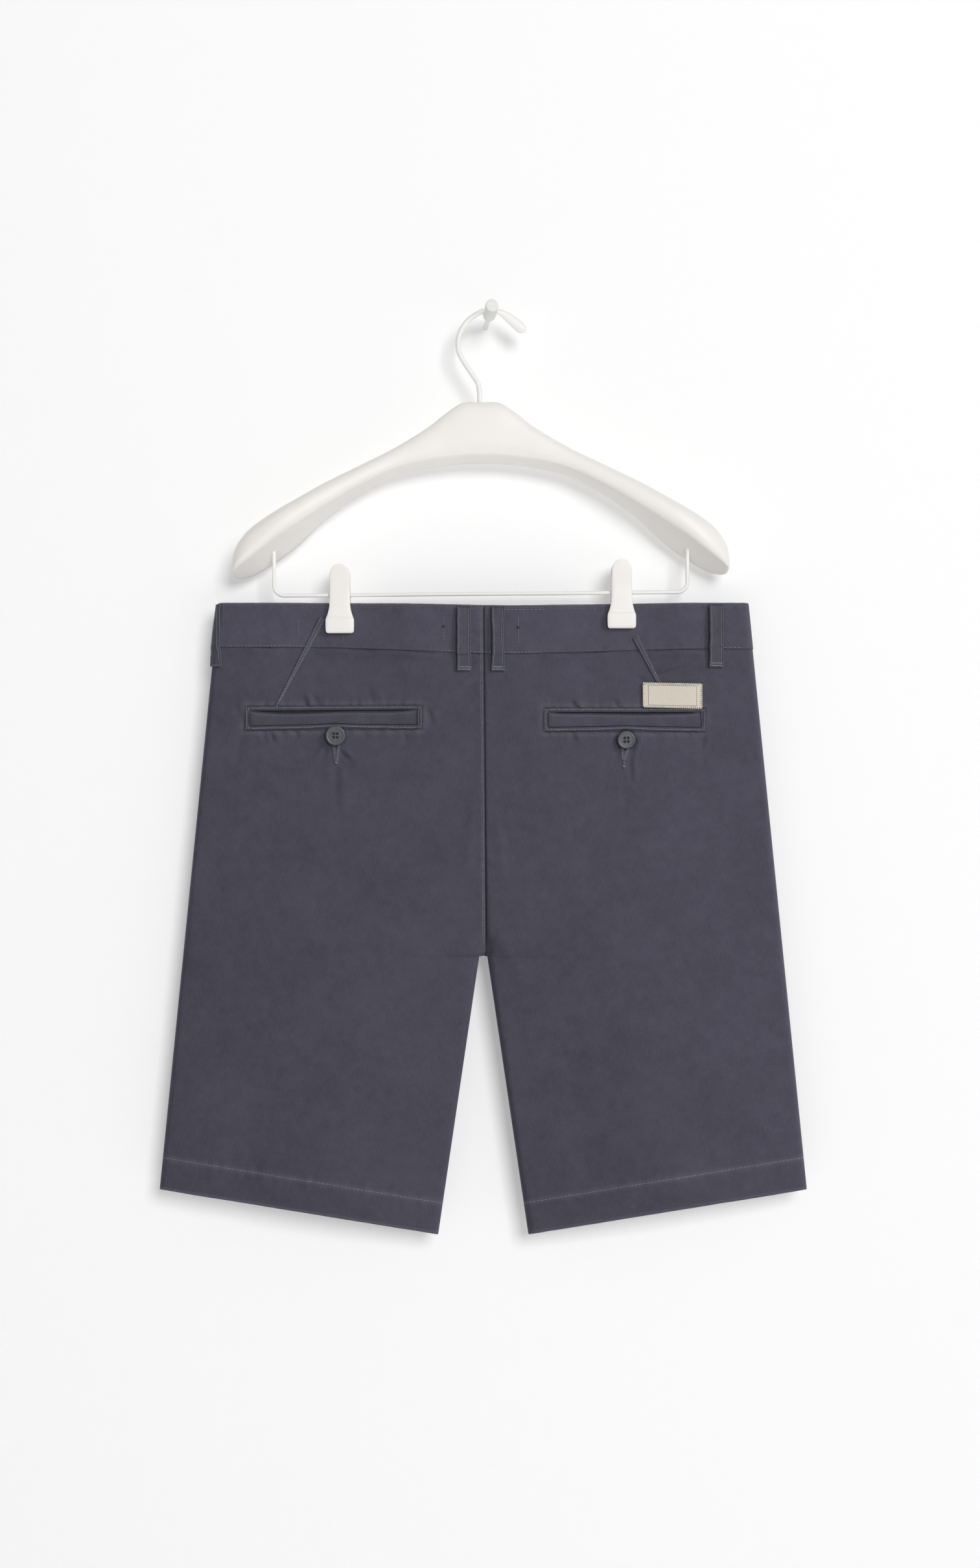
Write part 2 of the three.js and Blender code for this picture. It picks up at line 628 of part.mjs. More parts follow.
// From the middle out: top edge, crease along the front, back edge below it, and depth either side of HANG_Y.
const ARM = [
  { x: 0, top: -65.7, crease: -107.7, foot: -115.1, front: 7, back: 7 },
  { x: 15, top: -66.3, crease: -108.1, foot: -115.4, front: 7, back: 7 },
  { x: 28, top: -74.4, crease: -109.5, foot: -116.7, front: 7, back: 7 },
  { x: 42, top: -85.4, crease: -111.3, foot: -118.5, front: 7.4, back: 7.2 },
  { x: 70, top: -102.5, crease: -118.7, foot: -125.3, front: 8.6, back: 8 },
  { x: 98, top: -116.5, crease: -132.1, foot: -139.5, front: 11.5, back: 10 },
  { x: 126, top: -130.3, crease: -148.7, foot: -159.5, front: 15.5, back: 12.5 },
  { x: 147, top: -142.1, crease: -161.5, foot: -179.1, front: 18.5, back: 14.5 },
  { x: 164, top: -151.9, crease: -172.9, foot: -191.9, front: 20, back: 15.5 },
  { x: 182, top: -163.9, crease: -186.9, foot: -202.9, front: 19, back: 14.5 },
  { x: 192.4, top: -174.5, crease: -194.9, foot: -205.9, front: 15.5, back: 11.5 },
  { x: 198, top: -184.9, crease: -200.3, foot: -204.9, front: 9.5, back: 7 },
  { x: 199.6, top: -193.9, crease: -199.9, foot: -201.9, front: 4, back: 3 },
];
const ARM_STEPS = 6; // points up the front and down the back of a section
const ARM_ROUND = 0.55; // 1 is an ellipse, less is squarer

// The height of a point of the hanger once it hangs askew.
const askew = (x, z) => z + (x - HANGER_X) * HANGER_SLOPE;

function armRing(row, sign) {
  const quarter = Array.from({ length: ARM_STEPS + 1 }, (_, k) => (k / ARM_STEPS) * (Math.PI / 2));
  const x = HANGER_X + sign * row.x;
  const shape = (angle, depth, low) =>
    new THREE.Vector3(
      x,
      HANG_Y + depth * Math.cos(angle) ** ARM_ROUND,
      askew(x, lerp(low, row.top, Math.sin(angle) ** ARM_ROUND)),
    );
  return [
    ...quarter.map((angle) => shape(angle, -row.front, row.crease)),
    ...quarter.toReversed().slice(1).map((angle) => shape(angle, row.back, row.foot)),
  ];
}

const armRings = [
  ...ARM.toReversed().map((row) => armRing(row, -1)),
  ...ARM.slice(1).map((row) => armRing(row, 1)),
];

// ---- Hook, bar, clips and peg ------------------------------------------------------------------------------
const inPlane = (x, z) => new THREE.Vector3(x, HANG_Y, z);
const HOOK_RADIUS = 2.1;
const HOOK_TONGUE = 4.4; // half width of the flat tongue at its tip
const HOOK_FOOT = -77; // in the socket on top of the hanger
const HOOK_ROUTE = [
  { x: -0.9, z: HOOK_FOOT },
  { x: -0.9, z: -66 },
  { x: -1.1, z: -57 },
  { x: -2.8, z: -49.5 },
  { x: -11, z: -37 },
  { x: -17.6, z: -25 },
  { x: -17.4, z: -12 },
  { x: -11.2, z: -0.8 },
  { x: -1, z: 6.4 },
  { x: 7.5, z: 8.3 },
  { x: 16, z: 6.6 },
  { x: 24, z: 1.2 },
  { x: 35.8, z: -9 },
];
const hookPoints = HOOK_ROUTE.map(({ x, z }) => inPlane(HANGER_X + x, z));
const hookCurve = new THREE.CatmullRomCurve3(hookPoints, false, "centripetal");

function hookWidth(t) {
  const widened = lerp(HOOK_RADIUS, HOOK_TONGUE, smoothstep(t, 0.78, 0.95));
  return widened * Math.sqrt(1 - 0.8 * clamp((t - 0.965) / 0.035) ** 2);
}

const BAR_HALF = 166;
const BAR_CORNER = 8;
const BAR_END = -175; // in the sockets under the arms

const BAR_CORNER_STEPS = 5;

// One half of the bar's route, from its end down round the corner. sign is -1 on the left.
function barHalf(sign) {
  const centre = inPlane(HANGER_X + sign * (BAR_HALF - BAR_CORNER), BAR_Z + BAR_CORNER);
  const bend = Array.from({ length: BAR_CORNER_STEPS + 1 }, (_, k) => {
    const angle = ((Math.PI / 2) * k) / BAR_CORNER_STEPS;
    const out = new THREE.Vector3(sign * Math.cos(angle), 0, -Math.sin(angle));
    return centre.clone().addScaledVector(out, BAR_CORNER);
  });
  return [inPlane(HANGER_X + sign * BAR_HALF, BAR_END), ...bend].map(({ x, z }) => inPlane(x, askew(x, z)));
}

function socket(x, top, bottom, radius) {
  const hole = new THREE.CylinderGeometry(radius, radius, top - bottom, 12);
  hole.rotateX(Math.PI / 2);
  hole.translate(x, HANG_Y, (top + bottom) / 2);
  return solid(hole);
}

let body = solid(tubeOf(armRings));
body = body.subtract(socket(hookPoints[0].x, 0, HOOK_FOOT - GAP, HOOK_RADIUS + 1.5 * GAP));
for (const sign of [-1, 1]) {
  const x = HANGER_X + sign * BAR_HALF;
  body = body.subtract(socket(x, askew(x, BAR_END) + GAP, WAIST_Z, BAR_RADIUS + 1.5 * GAP));
}
add(hanger, "hanger_body", geometryFrom(body), WHITE, 0.55);
add(hanger, "hanger_hook", rod(hookCurve.getSpacedPoints(40), 8, hookWidth, HOOK_RADIUS), WHITE, 0.5);
const barRoute = [...barHalf(SIDES.left), ...barHalf(SIDES.right).toReversed()];
add(hanger, "trouser_bar", rod(barRoute, 8, () => BAR_RADIUS, BAR_RADIUS), WHITE, 0.5);

// A clip is a front and a back shell, each cut to its outline seen from the front and from the side.
const CLIP_OUTLINE = [
  { z: 30.2, half: 1.6 },
  { z: 29.4, half: 3.9 },
  { z: 27.6, half: 6 },
  { z: 25, half: 7.4 },
  { z: 21.5, half: 8.1 },
  { z: -4, half: 8.5 },
  { z: -12, half: 10.8 },
  { z: -13.5, half: CLIP_HALF },
  { z: -23.6, half: CLIP_HALF },
  { z: -CLIP_BITE, half: 10.2 },
];
const JAW_FACE = GAP / 2 + PINCHED + BAND_PROUD + GAP + FACET; // the jaw's inner face, from the middle plane
const BAR_FACE = BAR_RADIUS + GAP + 0.1; // and where the bar runs between the shells
const CLIP_SIDE = [
  { z: 30.2, inner: 7.4, outer: 8.8 },
  { z: 20, inner: 5.2, outer: 8.2 },
  { z: 12.5, inner: 2.8, outer: 7 },
  { z: 8.6, inner: BAR_FACE, outer: 6.6 },
  { z: 1.6, inner: BAR_FACE, outer: 6.4 },
  { z: -0.6, inner: JAW_FACE, outer: 6.4 },
  { z: -11, inner: JAW_FACE, outer: 6.2 },
  { z: -13, inner: JAW_FACE, outer: 7 },
  { z: -23, inner: JAW_FACE, outer: 6.6 },
  { z: -CLIP_BITE, inner: JAW_FACE, outer: 5 },
];

function clipShell(x, raise, facing) {
  const front = new THREE.Shape([
    ...CLIP_OUTLINE.map(({ z, half }) => new THREE.Vector2(half, z)),
    ...CLIP_OUTLINE.toReversed().map(({ z, half }) => new THREE.Vector2(-half, z)),
  ]);
  const side = new THREE.Shape([
    ...CLIP_SIDE.map(({ z, outer }) => new THREE.Vector2(outer, z)),
    ...CLIP_SIDE.toReversed().map(({ z, inner }) => new THREE.Vector2(inner, z)),
  ]);
  const depth = 4 * CLIP_HALF;
  const options = { depth, bevelEnabled: false };
  const faceOn = new THREE.ExtrudeGeometry(front, options).translate(0, 0, -depth / 2).rotateX(Math.PI / 2);
  const edgeOn = new THREE.ExtrudeGeometry(side, options)
    .translate(0, 0, -depth / 2)
    .rotateX(Math.PI / 2)
    .rotateZ((facing * Math.PI) / 2);
  const shell = geometryFrom(solid(faceOn).intersect(solid(edgeOn)));
  return shell.translate(x, HANG_Y, WAIST_Z + raise);
}

for (const [name, sign] of Object.entries(SIDES)) {
  const x = HANGER_X + sign * CLIP_SPREAD;
  add(hanger, `clip_${name}_outer`, clipShell(x, CLIP_RAISE[name], FACING.back), WHITE, 0.5);
  add(hanger, `clip_${name}_inner`, clipShell(x, CLIP_RAISE[name], FACING.front), WHITE, 0.5);
}

// The peg leans up and to the right a little; its neck carries the hook and its head keeps it on.
const PEG_LEAN = degToRad(6);
const PEG_TURN = degToRad(5.3);
const PEG_ROOT = -6; // where the blank starts, before the wall's plane cuts it
const PEG_NECK = 2;
const PEG_SEAT = 2.9; // the collar on which the hook rests, just behind the head
const PEG_SEAT_FROM = 24;
const PEG_HEAD = 5.2;
const PEG_HEAD_FROM = 32.5;
const PEG_LENGTH = 58.5;
const PEG_EDGE = 0.4; // rounding of the head's rims
const PEG_PROFILE = [
  [0, PEG_ROOT],
  [PEG_NECK, PEG_ROOT],
  [PEG_NECK, PEG_SEAT_FROM],
  [PEG_SEAT, PEG_SEAT_FROM],
  [PEG_SEAT, PEG_HEAD_FROM],
  [PEG_HEAD - PEG_EDGE, PEG_HEAD_FROM],
  [PEG_HEAD, PEG_HEAD_FROM + PEG_EDGE],
  [PEG_HEAD, PEG_LENGTH - 3 * PEG_EDGE],
  [PEG_HEAD - PEG_EDGE, PEG_LENGTH - PEG_EDGE],
  [PEG_HEAD - 3 * PEG_EDGE, PEG_LENGTH],
  [0, PEG_LENGTH],
].map(([r, s]) => new THREE.Vector2(r, s));

const pegBlank = new THREE.LatheGeometry(PEG_PROFILE, 20).rotateX(Math.PI - PEG_LEAN).rotateZ(PEG_TURN);
const roomSize = 200;
const room = new THREE.BoxGeometry(roomSize, roomSize, roomSize).translate(0, -roomSize / 2, 0);
add(hanger, "wall_peg", geometryFrom(solid(pegBlank).intersect(solid(room))), WHITE, 0.6);

const part = new THREE.Group();
part.add(shorts, hanger);
export default part;
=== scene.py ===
"""Men's bermuda shorts in navy cotton twill, clipped by the waistband to a contoured white hanger that
hangs on a short wall peg. The back of the shorts faces the room.

Sizes are in millimetres until a mesh is made. A place on the cloth is (x, drop): x to the right of the centre
line, drop down from the waist edge, as the shorts lie when flat. The side is "back" (towards the room, -Y) or
"front" (towards the wall, +Y)."""
import math

import bpy
import numpy as np
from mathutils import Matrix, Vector


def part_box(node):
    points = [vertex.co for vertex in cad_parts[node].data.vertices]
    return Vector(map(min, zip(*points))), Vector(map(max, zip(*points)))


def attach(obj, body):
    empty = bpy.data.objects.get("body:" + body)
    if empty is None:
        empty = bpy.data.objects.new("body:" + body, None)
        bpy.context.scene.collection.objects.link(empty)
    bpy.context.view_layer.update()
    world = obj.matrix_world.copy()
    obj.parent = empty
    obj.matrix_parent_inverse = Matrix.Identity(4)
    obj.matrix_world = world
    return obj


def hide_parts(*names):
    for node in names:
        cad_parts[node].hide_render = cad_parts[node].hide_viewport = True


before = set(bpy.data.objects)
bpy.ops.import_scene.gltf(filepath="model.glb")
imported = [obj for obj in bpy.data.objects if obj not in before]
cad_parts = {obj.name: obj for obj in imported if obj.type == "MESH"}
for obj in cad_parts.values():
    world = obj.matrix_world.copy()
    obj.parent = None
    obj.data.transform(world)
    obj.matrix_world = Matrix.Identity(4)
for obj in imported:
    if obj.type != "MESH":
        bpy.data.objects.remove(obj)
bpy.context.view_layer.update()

MM = 0.001


def corners(node):
    """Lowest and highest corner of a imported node, in millimetres."""
    low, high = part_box(node)
    return np.array(low) / MM, np.array(high) / MM


# ---- Places taken from the frame ---------------------------------------------------------------------------
BAND_LEFT = corners("waistband_left")
BAND_RIGHT = corners("waistband_right")
SHORTS_X = (BAND_LEFT[1][0] + BAND_RIGHT[0][0]) / 2
WAIST_DIP = 0.4  # how far the waist edge lies below WAIST_Z all round
WAIST_Z = BAND_LEFT[1][2] + WAIST_DIP
HANG_Y = sum(c[1] for c in corners("trouser_bar")) / 2
HANGER_X = sum(c[0] for c in corners("hanger_body")) / 2
HANGER_SLOPE = math.tan(math.radians(0.5))  # it hangs a little lower on the left
BAR_RADIUS = 1.6
BAR_HALF = 166.0
BAR_CORNER = 8.0
BAR_Z = corners("trouser_bar")[0][2] + BAR_RADIUS + (BAR_HALF - BAR_CORNER) * HANGER_SLOPE  # under the hook

# ---- Driving dimensions of the shorts ----------------------------------------------------------------------
WAIST_HALF = 212.8
HEM_OUTER_HALF = 259.9
HEM_INNER_HALF = 36.1
FORK_HALF = 3.2
FORK_DROP = 283.2
SIDE_DROP = 469.7
INSEAM_DROP = 506.0
TILT_FROM = 110.0  # below this drop the rows of the cloth turn parallel to the hem
BAND_SIDE = {"left": 34.7, "right": 36.1}  # height of the waistband at each side fold
BAND_CENTRE = 38.9  # and at its deepest
BAND_DEEPEST = 15.0  # which lies this far right of the centre line
HEM_DEPTH = 25.0  # stitched depth of the hem
WAIST_SAG = 2.1  # how much lower still the waist hangs between the clips
SAG_AT = 25.0
SAG_REACH = 78.0
SAG_DEPTH = 78.0
SEAM_LEAN = 2.2  # how far right of the centre line the seam has drifted at the fork
HEM_RISE = 0.19  # share of its own bulge by which the cloth draws up the hem

GAP = 0.3
SEAM = 0.04  # left open between the two halves where they are sewn edge to edge
CLOTH = 1.2
HEM_CLOTH = 2.2
BAND_CLOTH = 2.2
BAND_PROUD = 0.5
FOLD_RADIUS = 5.0
PINCHED = 1.9
CLIP_SPREAD = 113.0
CLIP_HALF = 11.5
CLIP_BITE = 25.0  # how far a clip reaches below its own z = 0

FACING = {"back": -1.0, "front": 1.0}
SIGN = {"left": -1.0, "right": 1.0}
HALVES = ("left", "right")

# How far the cloth bulges from the middle plane, at the widest place of each level.
SECTIONS = np.array(
    [
        # drop, back, front
        (0, 7.5, 6.5),
        (36, 8.5, 7.5),
        (90, 11, 9),
        (170, 13, 10.5),
        (290, 13.5, 11),
        (400, 13, 10.5),
        (510, 12.5, 10.5),
    ]
)
SECTION_COLUMN = {"back": 1, "front": 2}

# The largest soft folds: a ridge, or a trough where height is negative, from one place to another.
FOLDS = [
    # side, x1, drop1, x2, drop2, width, height
    ("back", -30, 262, -128, 214, 15, -1.3),
    ("back", 28, 258, 118, 222, 17, -1.1),
    ("back", -96, 318, -128, 505, 24, 1.8),
    ("back", -176, 350, -196, 500, 20, -1.4),
    ("back", 120, 330, 148, 505, 26, 1.6),
    ("back", 72, 345, 84, 500, 18, -1.2),
    ("front", -24, 256, -120, 205, 15, -1.2),
    ("front", 26, 262, 132, 218, 16, -1.3),
    ("front", -118, 325, -150, 505, 25, 1.6),
    ("front", 104, 320, 126, 505, 22, 1.7),
]

CREASE_DEPTH = 1.4  # every height in the table of creases is this many times more
# Small creases pressed into the cloth.
CREASES = [
    # side, x1, drop1, x2, drop2, width, height
    ("back", -118, 130, -117, 172, 2.8, -0.45),
    ("back", -113, 126, -110, 172, 3.0, 0.5),
    ("back", -124, 116, -131, 128, 1.7, -1.0),
    ("back", -127, 114, -134, 125, 1.8, 0.7),
    ("back", -115, 117, -105, 129, 1.7, -1.0),
    ("back", -112, 116, -102, 127, 1.9, 0.7),
    ("back", -115, 123, -111, 133, 1.5, -0.7),
    ("back", -131, 83, -139, 71, 2.0, -1.0),
    ("back", -135, 83, -143, 70, 2.0, 0.8),
    ("back", -141, 83, -146, 72, 1.8, -0.8),
    ("back", -147, 83, -151, 70, 2.0, -0.7),
    ("back", -177, 102, -174, 112, 1.8, -0.8),
    ("back", -171, 102, -166, 114, 2.0, -0.9),
    ("back", -168, 102, -163, 112, 1.9, 0.7),
    ("back", -150, 102, -148, 110, 1.8, -0.6),
    ("back", -96, 102, -92, 112, 1.8, -0.6),
    ("back", -64, 101, -60, 114, 2.0, -0.7),
    ("back", -45, 84, -40, 100, 2.2, -0.7),
    ("back", -41, 84, -36, 100, 2.2, 0.6),
    ("back", -88, 82, -92, 66, 2.4, -0.5),
    ("back", -60, 82, -56, 64, 2.6, 0.5),
    ("back", -199, 80, -192, 98, 2.6, -0.7),
    ("back", 122.5, 108, 117.4, 124, 1.6, -1.1),
    ("back", 117.4, 121, 118.2, 148, 1.9, -1.0),
    ("back", 125, 108, 120.2, 124, 1.7, 0.9),
    ("back", 120.4, 122, 121.6, 146, 2.2, 0.7),
    ("back", 108, 118, 104, 132, 1.8, -0.7),
    ("back", 112, 134, 114, 182, 3.0, -0.4),
    ("back", 76, 85, 69, 77, 1.7, -1.0),
    ("back", 79, 85, 73, 76, 1.8, 0.8),
    ("back", 107, 84, 104, 75, 1.7, -0.9),
    ("back", 110, 84, 108, 73, 1.8, 0.7),
    ("back", 93, 84, 92, 70, 2.2, -0.5),
    ("back", 71, 103, 74, 113, 1.8, -0.8),
    ("back", 74, 103, 78, 112, 1.9, 0.6),
    ("back", 132, 103, 143, 108, 1.6, -0.7),
    ("back", 177, 104, 174, 120, 2.0, -0.9),
    ("back", 180, 102, 178, 120, 2.2, 0.7),
    ("back", 123, 58, 130, 64, 1.8, -0.8),
    ("back", 139, 59, 162, 49, 2.0, -1.0),
    ("back", 139, 56, 160, 46, 2.4, 0.9),
    ("back", 146, 62, 176, 58, 2.2, 0.7),
    ("back", 148, 60, 178, 54, 1.9, -0.6),
    ("back", 176, 92, 182, 122, 3.0, -0.6),
    ("back", -192, 96, -199, 134, 3.4, -0.6),
    ("back", -8, 44, -14, 64, 1.8, -0.6),
    ("back", -8, 58, -20, 66, 1.8, 0.6),
    ("back", -6, 66, -26, 72, 2.0, -0.7),
    ("back", -10, 20, -4, 26, 1.5, -0.6),
    ("back", -10, 31, -3, 33, 1.4, -0.6),
    ("back", -8, 150, -14, 220, 4.0, 0.6),
    ("back", 10, 170, 18, 240, 4.4, 0.6),
    ("back", -6, 264, -34, 300, 6.0, 0.9),
    ("back", 7, 262, 36, 304, 6.5, 0.9),
    ("front", -10, 200, -34, 268, 5.0, -0.8),
    ("front", 12, 196, 40, 262, 5.5, -0.8),
    ("front", -6, 262, -36, 300, 6.0, 0.8),
    ("front", 7, 264, 38, 302, 6.0, 0.8),
    ("front", -200, 150, -150, 205, 6.0, 0.7),
    ("front", 198, 156, 146, 210, 6.5, 0.7),
]

# Where the edge of the panels swells over the waistband's seam, on the back.
SWELLS = [
    # x from, x to, drop added, height
    (-192, -162, 2.6, 0.9),
    (-138, -34, 3.0, 1.2),
    (46, 104, 2.8, 1.1),
    (128, 180, 3.0, 1.1),
]

# Back welt pockets: the stitched frame, the slit inside it and the welt that nearly fills it.
POCKETS = {
    "left": dict(x=-119.6, drop=91.95, width=141.0, height=18.3, slant=-0.006),
    "right": dict(x=113.1, drop=93.55, width=129.0, height=18.3, slant=0.0),
}
FRAME_WIDTH = 2.7
SLIT = {"left": 3.1, "right": 2.6}  # how far each pocket gapes

BUTTONS = {"left": (-118.0, 106.2), "right": (114.1, 109.6)}
# the ring at this radius round each pocket button is painted shadow
BUTTON_SHADE = 7.6  # radius of the cloth that a pocket button keeps dark
BUTTONHOLES = {
    # x, half width at the top, drop of the top, x of the foot, drop of the foot
    # x at top, half width, top drop, x at foot, foot drop
    "left": (-117.5, 2.2, 112.6, -117.4, 128.8),
    "right": (113.6, 2.3, 115.0, 112.4, 131.6),
}
BUTTONHOLE_STEM = {"left": 1.5, "right": 6.0}  # above the foot, from where its two edges run as one
DARTS = {
    # x1, drop1, x2, drop2
    "left": (-129.4, 12.0, -165.1, 82.0),
    "right": (122.3, 26.5, 150.5, 83.6),
}
LABEL = dict(x=151.4, drop=74.0, width=47.0, height=19.6, slant=0.022)
FLAT_LOOPS = {
    # side, x, foot drop
    "belt_loop_back_left": ("back", -15.7, 53.7),
    "belt_loop_back_right": ("back", 11.5, 53.7),
    "belt_loop_side_right": ("back", 186.4, 51.0),
    "belt_loop_front_left": ("front", -66.0, 53.0),
    "belt_loop_front_right": ("front", 66.0, 53.0),
}
LOOP_WIDTH = 10.4
FLY = dict(edge=4.0, width=38.0, top=43.0, bottom=190.0, curve=42.0)
FRONT_POCKET = dict(x1=160.0, drop1=40.0, x2=212.0, drop2=168.0, width=9.0)


# ---- Helpers on whole arrays -------------------------------------------------------------------------------
def smoothstep(value, low, high):
    """3t^2 - 2t^3, where t is the share of the way from low to high."""
    t = np.clip((value - low) / (high - low), 0, 1)
    return t * t * (3 - 2 * t)


def lerp(a, b, t):
    """Straight mix of a and b."""
    return a + (b - a) * t


def roll(ratio):
    """Quarter circle from 0 at the edge to 1 at a distance of one radius."""
    return np.sqrt(np.clip(1 - (1 - np.clip(ratio, 0, 1)) ** 2, 0, 1))


def curve_through(keys, values, at):
    """Cubic Hermite curve through the table, with each slope taken between a key's two neighbours."""
    keys, values = np.asarray(keys, float), np.asarray(values, float)
    at = np.asarray(at, float)
    ahead = np.minimum(np.arange(len(keys)) + 1, len(keys) - 1)
    behind = np.maximum(np.arange(len(keys)) - 1, 0)
    slope = (values[ahead] - values[behind]) / (keys[ahead] - keys[behind])
    i = np.clip(np.searchsorted(keys, at, side="right") - 1, 0, len(keys) - 2)
    span = keys[i + 1] - keys[i]
    t = np.clip((at - keys[i]) / span, 0, 1)
    bend = t * t * (3 - 2 * t)
    leave = t * (1 - t) ** 2 * span * slope[i]
    arrive = t * t * (t - 1) * span * slope[i + 1]
    return lerp(values[i], values[i + 1], bend) + leave + arrive


def along_line(x, drop, x1, drop1, x2, drop2):
    """Share of the way along a straight line, and the distance off it, at each place."""
    dx, dd = x2 - x1, drop2 - drop1
    length = math.hypot(dx, dd)
    share = ((x - x1) * dx + (drop - drop1) * dd) / length**2
    return share, ((x - x1) * dd - (drop - drop1) * dx) / length, length


# ---- The surface of the cloth ------------------------------------------------------------------------------
def outer_edge(drop):
    """Half width of the shorts at a drop."""
    return lerp(WAIST_HALF, HEM_OUTER_HALF, np.asarray(drop) / SIDE_DROP)


def inner_edge(drop):
    """Half width of the notch between the legs at a drop, 0 above the fork."""
    share = np.clip((np.asarray(drop) - FORK_DROP) / (INSEAM_DROP - FORK_DROP), 0, 1)
    return np.where(np.asarray(drop) < FORK_DROP - 0.5, 0.0, lerp(FORK_HALF, HEM_INNER_HALF, share))


def inner_roll(drop):
    """The notch's half width as the bulge sees it: it starts above the fork, so the cloth thins there."""
    above = FORK_HALF * smoothstep(np.asarray(drop), FORK_DROP - 26, FORK_DROP)
    return np.maximum(inner_edge(drop), above)


def sag(x, drop):
    """How far the waist has sunk: a dip all round and a bell between the clips, both gone at SAG_DEPTH."""
    bell = WAIST_SAG * np.exp(-(((x - SAG_AT) / SAG_REACH) ** 2))
    return (WAIST_DIP + bell) * (1 - smoothstep(drop, 0, SAG_DEPTH))


def seam_lean(drop):
    """How far right of the centre line the seam lies: it drifts down to the fork and comes back in 3 mm."""
    return SEAM_LEAN * np.clip(drop / FORK_DROP, 0, 1) * (1 - smoothstep(drop, FORK_DROP - 3, FORK_DROP))


def centre_open(drop):
    """1 where back and front stand apart at the centre, falling in a quarter ellipse to 0 at the fork."""
    t = np.clip((np.asarray(drop) - TILT_FROM) / (FORK_DROP - TILT_FROM), 0, 1)
    return np.sqrt(1 - t * t)


def ridges(table, side, x, drop):
    """Sum of Gaussian ridges along straight lines, each rising at its start and fading past its end."""
    total = np.zeros(np.broadcast(x, drop).shape)
    for on, x1, drop1, x2, drop2, width, height in table:
        if on == side:
            share, off, _ = along_line(x, drop, x1, drop1, x2, drop2)
            fade = smoothstep(share, -0.15, 0.35) * (1 - smoothstep(share, 0.65, 1.15) * 0.5)
            total += height * fade * np.exp(-((off / width) ** 2))
    return total


def short_ridges(table, side, x, drop):
    """As ridges, but each one dies away at both of its ends."""
    total = np.zeros(np.broadcast(x, drop).shape)
    for on, x1, drop1, x2, drop2, width, height in table:
        if on == side:
            share, off, _ = along_line(x, drop, x1, drop1, x2, drop2)
            fade = smoothstep(share, -0.1, 0.25) * (1 - smoothstep(share, 0.45, 1.1))
            total += height * fade * np.exp(-((off / width) ** 2))
    return total


def clip_grip(x, drop):
    """1 under the jaws of a clip, fading over the cloth around them."""
    off = np.abs(np.abs(x - (HANGER_X - SHORTS_X)) - CLIP_SPREAD)
    beside = 1 - smoothstep(off, CLIP_HALF + 2, CLIP_HALF + 46)
    return beside * (1 - smoothstep(drop, CLIP_BITE + 1, CLIP_BITE + 75))


def half_depth(side, x, drop):
    """Bulge of the cloth from the middle plane: a rolled edge of one fold radius and a sine arch over it."""
    full = curve_through(SECTIONS[:, 0], SECTIONS[:, SECTION_COLUMN[side]], drop)
    outer, inner, opened = outer_edge(drop), inner_roll(drop), centre_open(drop)
    across = np.clip((outer - np.abs(x)) / (outer - inner), 0, 1)
    at_notch = lerp(roll((np.abs(x) - inner) / FOLD_RADIUS), 1, opened)
    rolled = roll((outer - np.abs(x)) / FOLD_RADIUS) * at_notch
    arch = lerp(np.sin(np.pi * across), np.sin(np.pi / 2 * across), opened)
    free = FOLD_RADIUS * rolled + (full - FOLD_RADIUS) * arch + ridges(FOLDS, side, x, drop) * rolled
    return lerp(free, PINCHED, clip_grip(x, drop))


def ripple(x, drop, seed, shortest, longest, height):
    """Low irregular waves: a sum of sines in random directions, the longer ones higher."""
    rng = np.random.default_rng(seed)
    total = np.zeros(np.broadcast(x, drop).shape)
    for _ in range(16):
        length = rng.uniform(shortest, longest)
        angle = rng.uniform(0, np.pi)
        phase = rng.uniform(0, 2 * np.pi)
        wave = 2 * np.pi * (x * np.cos(angle) + drop * np.sin(angle)) / length + phase
        total += height * length / longest * np.sin(wave) / 4
    return total


def band_bottom(x):
    """Drop of the waistband's lower edge: deepest near the centre, less towards each side."""
    at_side = np.where(np.asarray(x) < 0, BAND_SIDE["left"], BAND_SIDE["right"])
    return lerp(BAND_CENTRE, at_side, smoothstep(np.abs(x - BAND_DEEPEST), 0, 150))


def hem_height(x, drop):
    """Distance up from the hem's edge, square to it."""
    slope = (INSEAM_DROP - SIDE_DROP) / (HEM_OUTER_HALF - HEM_INNER_HALF)
    edge = SIDE_DROP + (HEM_OUTER_HALF - np.abs(x)) * slope
    return (edge - drop) / math.hypot(1, slope)


def pucker(share, off, length, seed, reach=5.0, dent=0.24, height=0.13, pitch=7.0):
    """A stitched line draws the cloth in: a narrow groove, with little uneven ripples square to it."""
    rng = np.random.default_rng(seed)
    s = share * length
    waves = np.zeros(np.shape(s))
    for _ in range(5):
        waves += np.sin(2 * np.pi * s / (pitch * rng.uniform(0.6, 1.7)) + rng.uniform(0, 6.28))
    inside = smoothstep(share, -0.02, 0.0) * (1 - smoothstep(share, 1.0, 1.02))
    return inside * (height * waves / 2 * np.exp(-((off / reach) ** 2)) - dent * np.exp(-((off / 0.8) ** 2)))


def centre_seam(x):
    """A felled seam: the cloth doubled for 5 mm on the left of the joint, drawn in beside it on the right."""
    doubled = 0.22 * smoothstep(-x, 0, 0.3) * (1 - smoothstep(-x, 4.4, 6.0))
    return doubled - 0.7 * np.exp(-((x / 1.1) ** 2)) * (x > 0)


def pocket_place(pocket, x, drop):
    """A place in a pocket's own frame: right of its middle and below it, along its slant."""
    along = x - pocket["x"]
    return along, drop - pocket["drop"] - pocket["slant"] * along


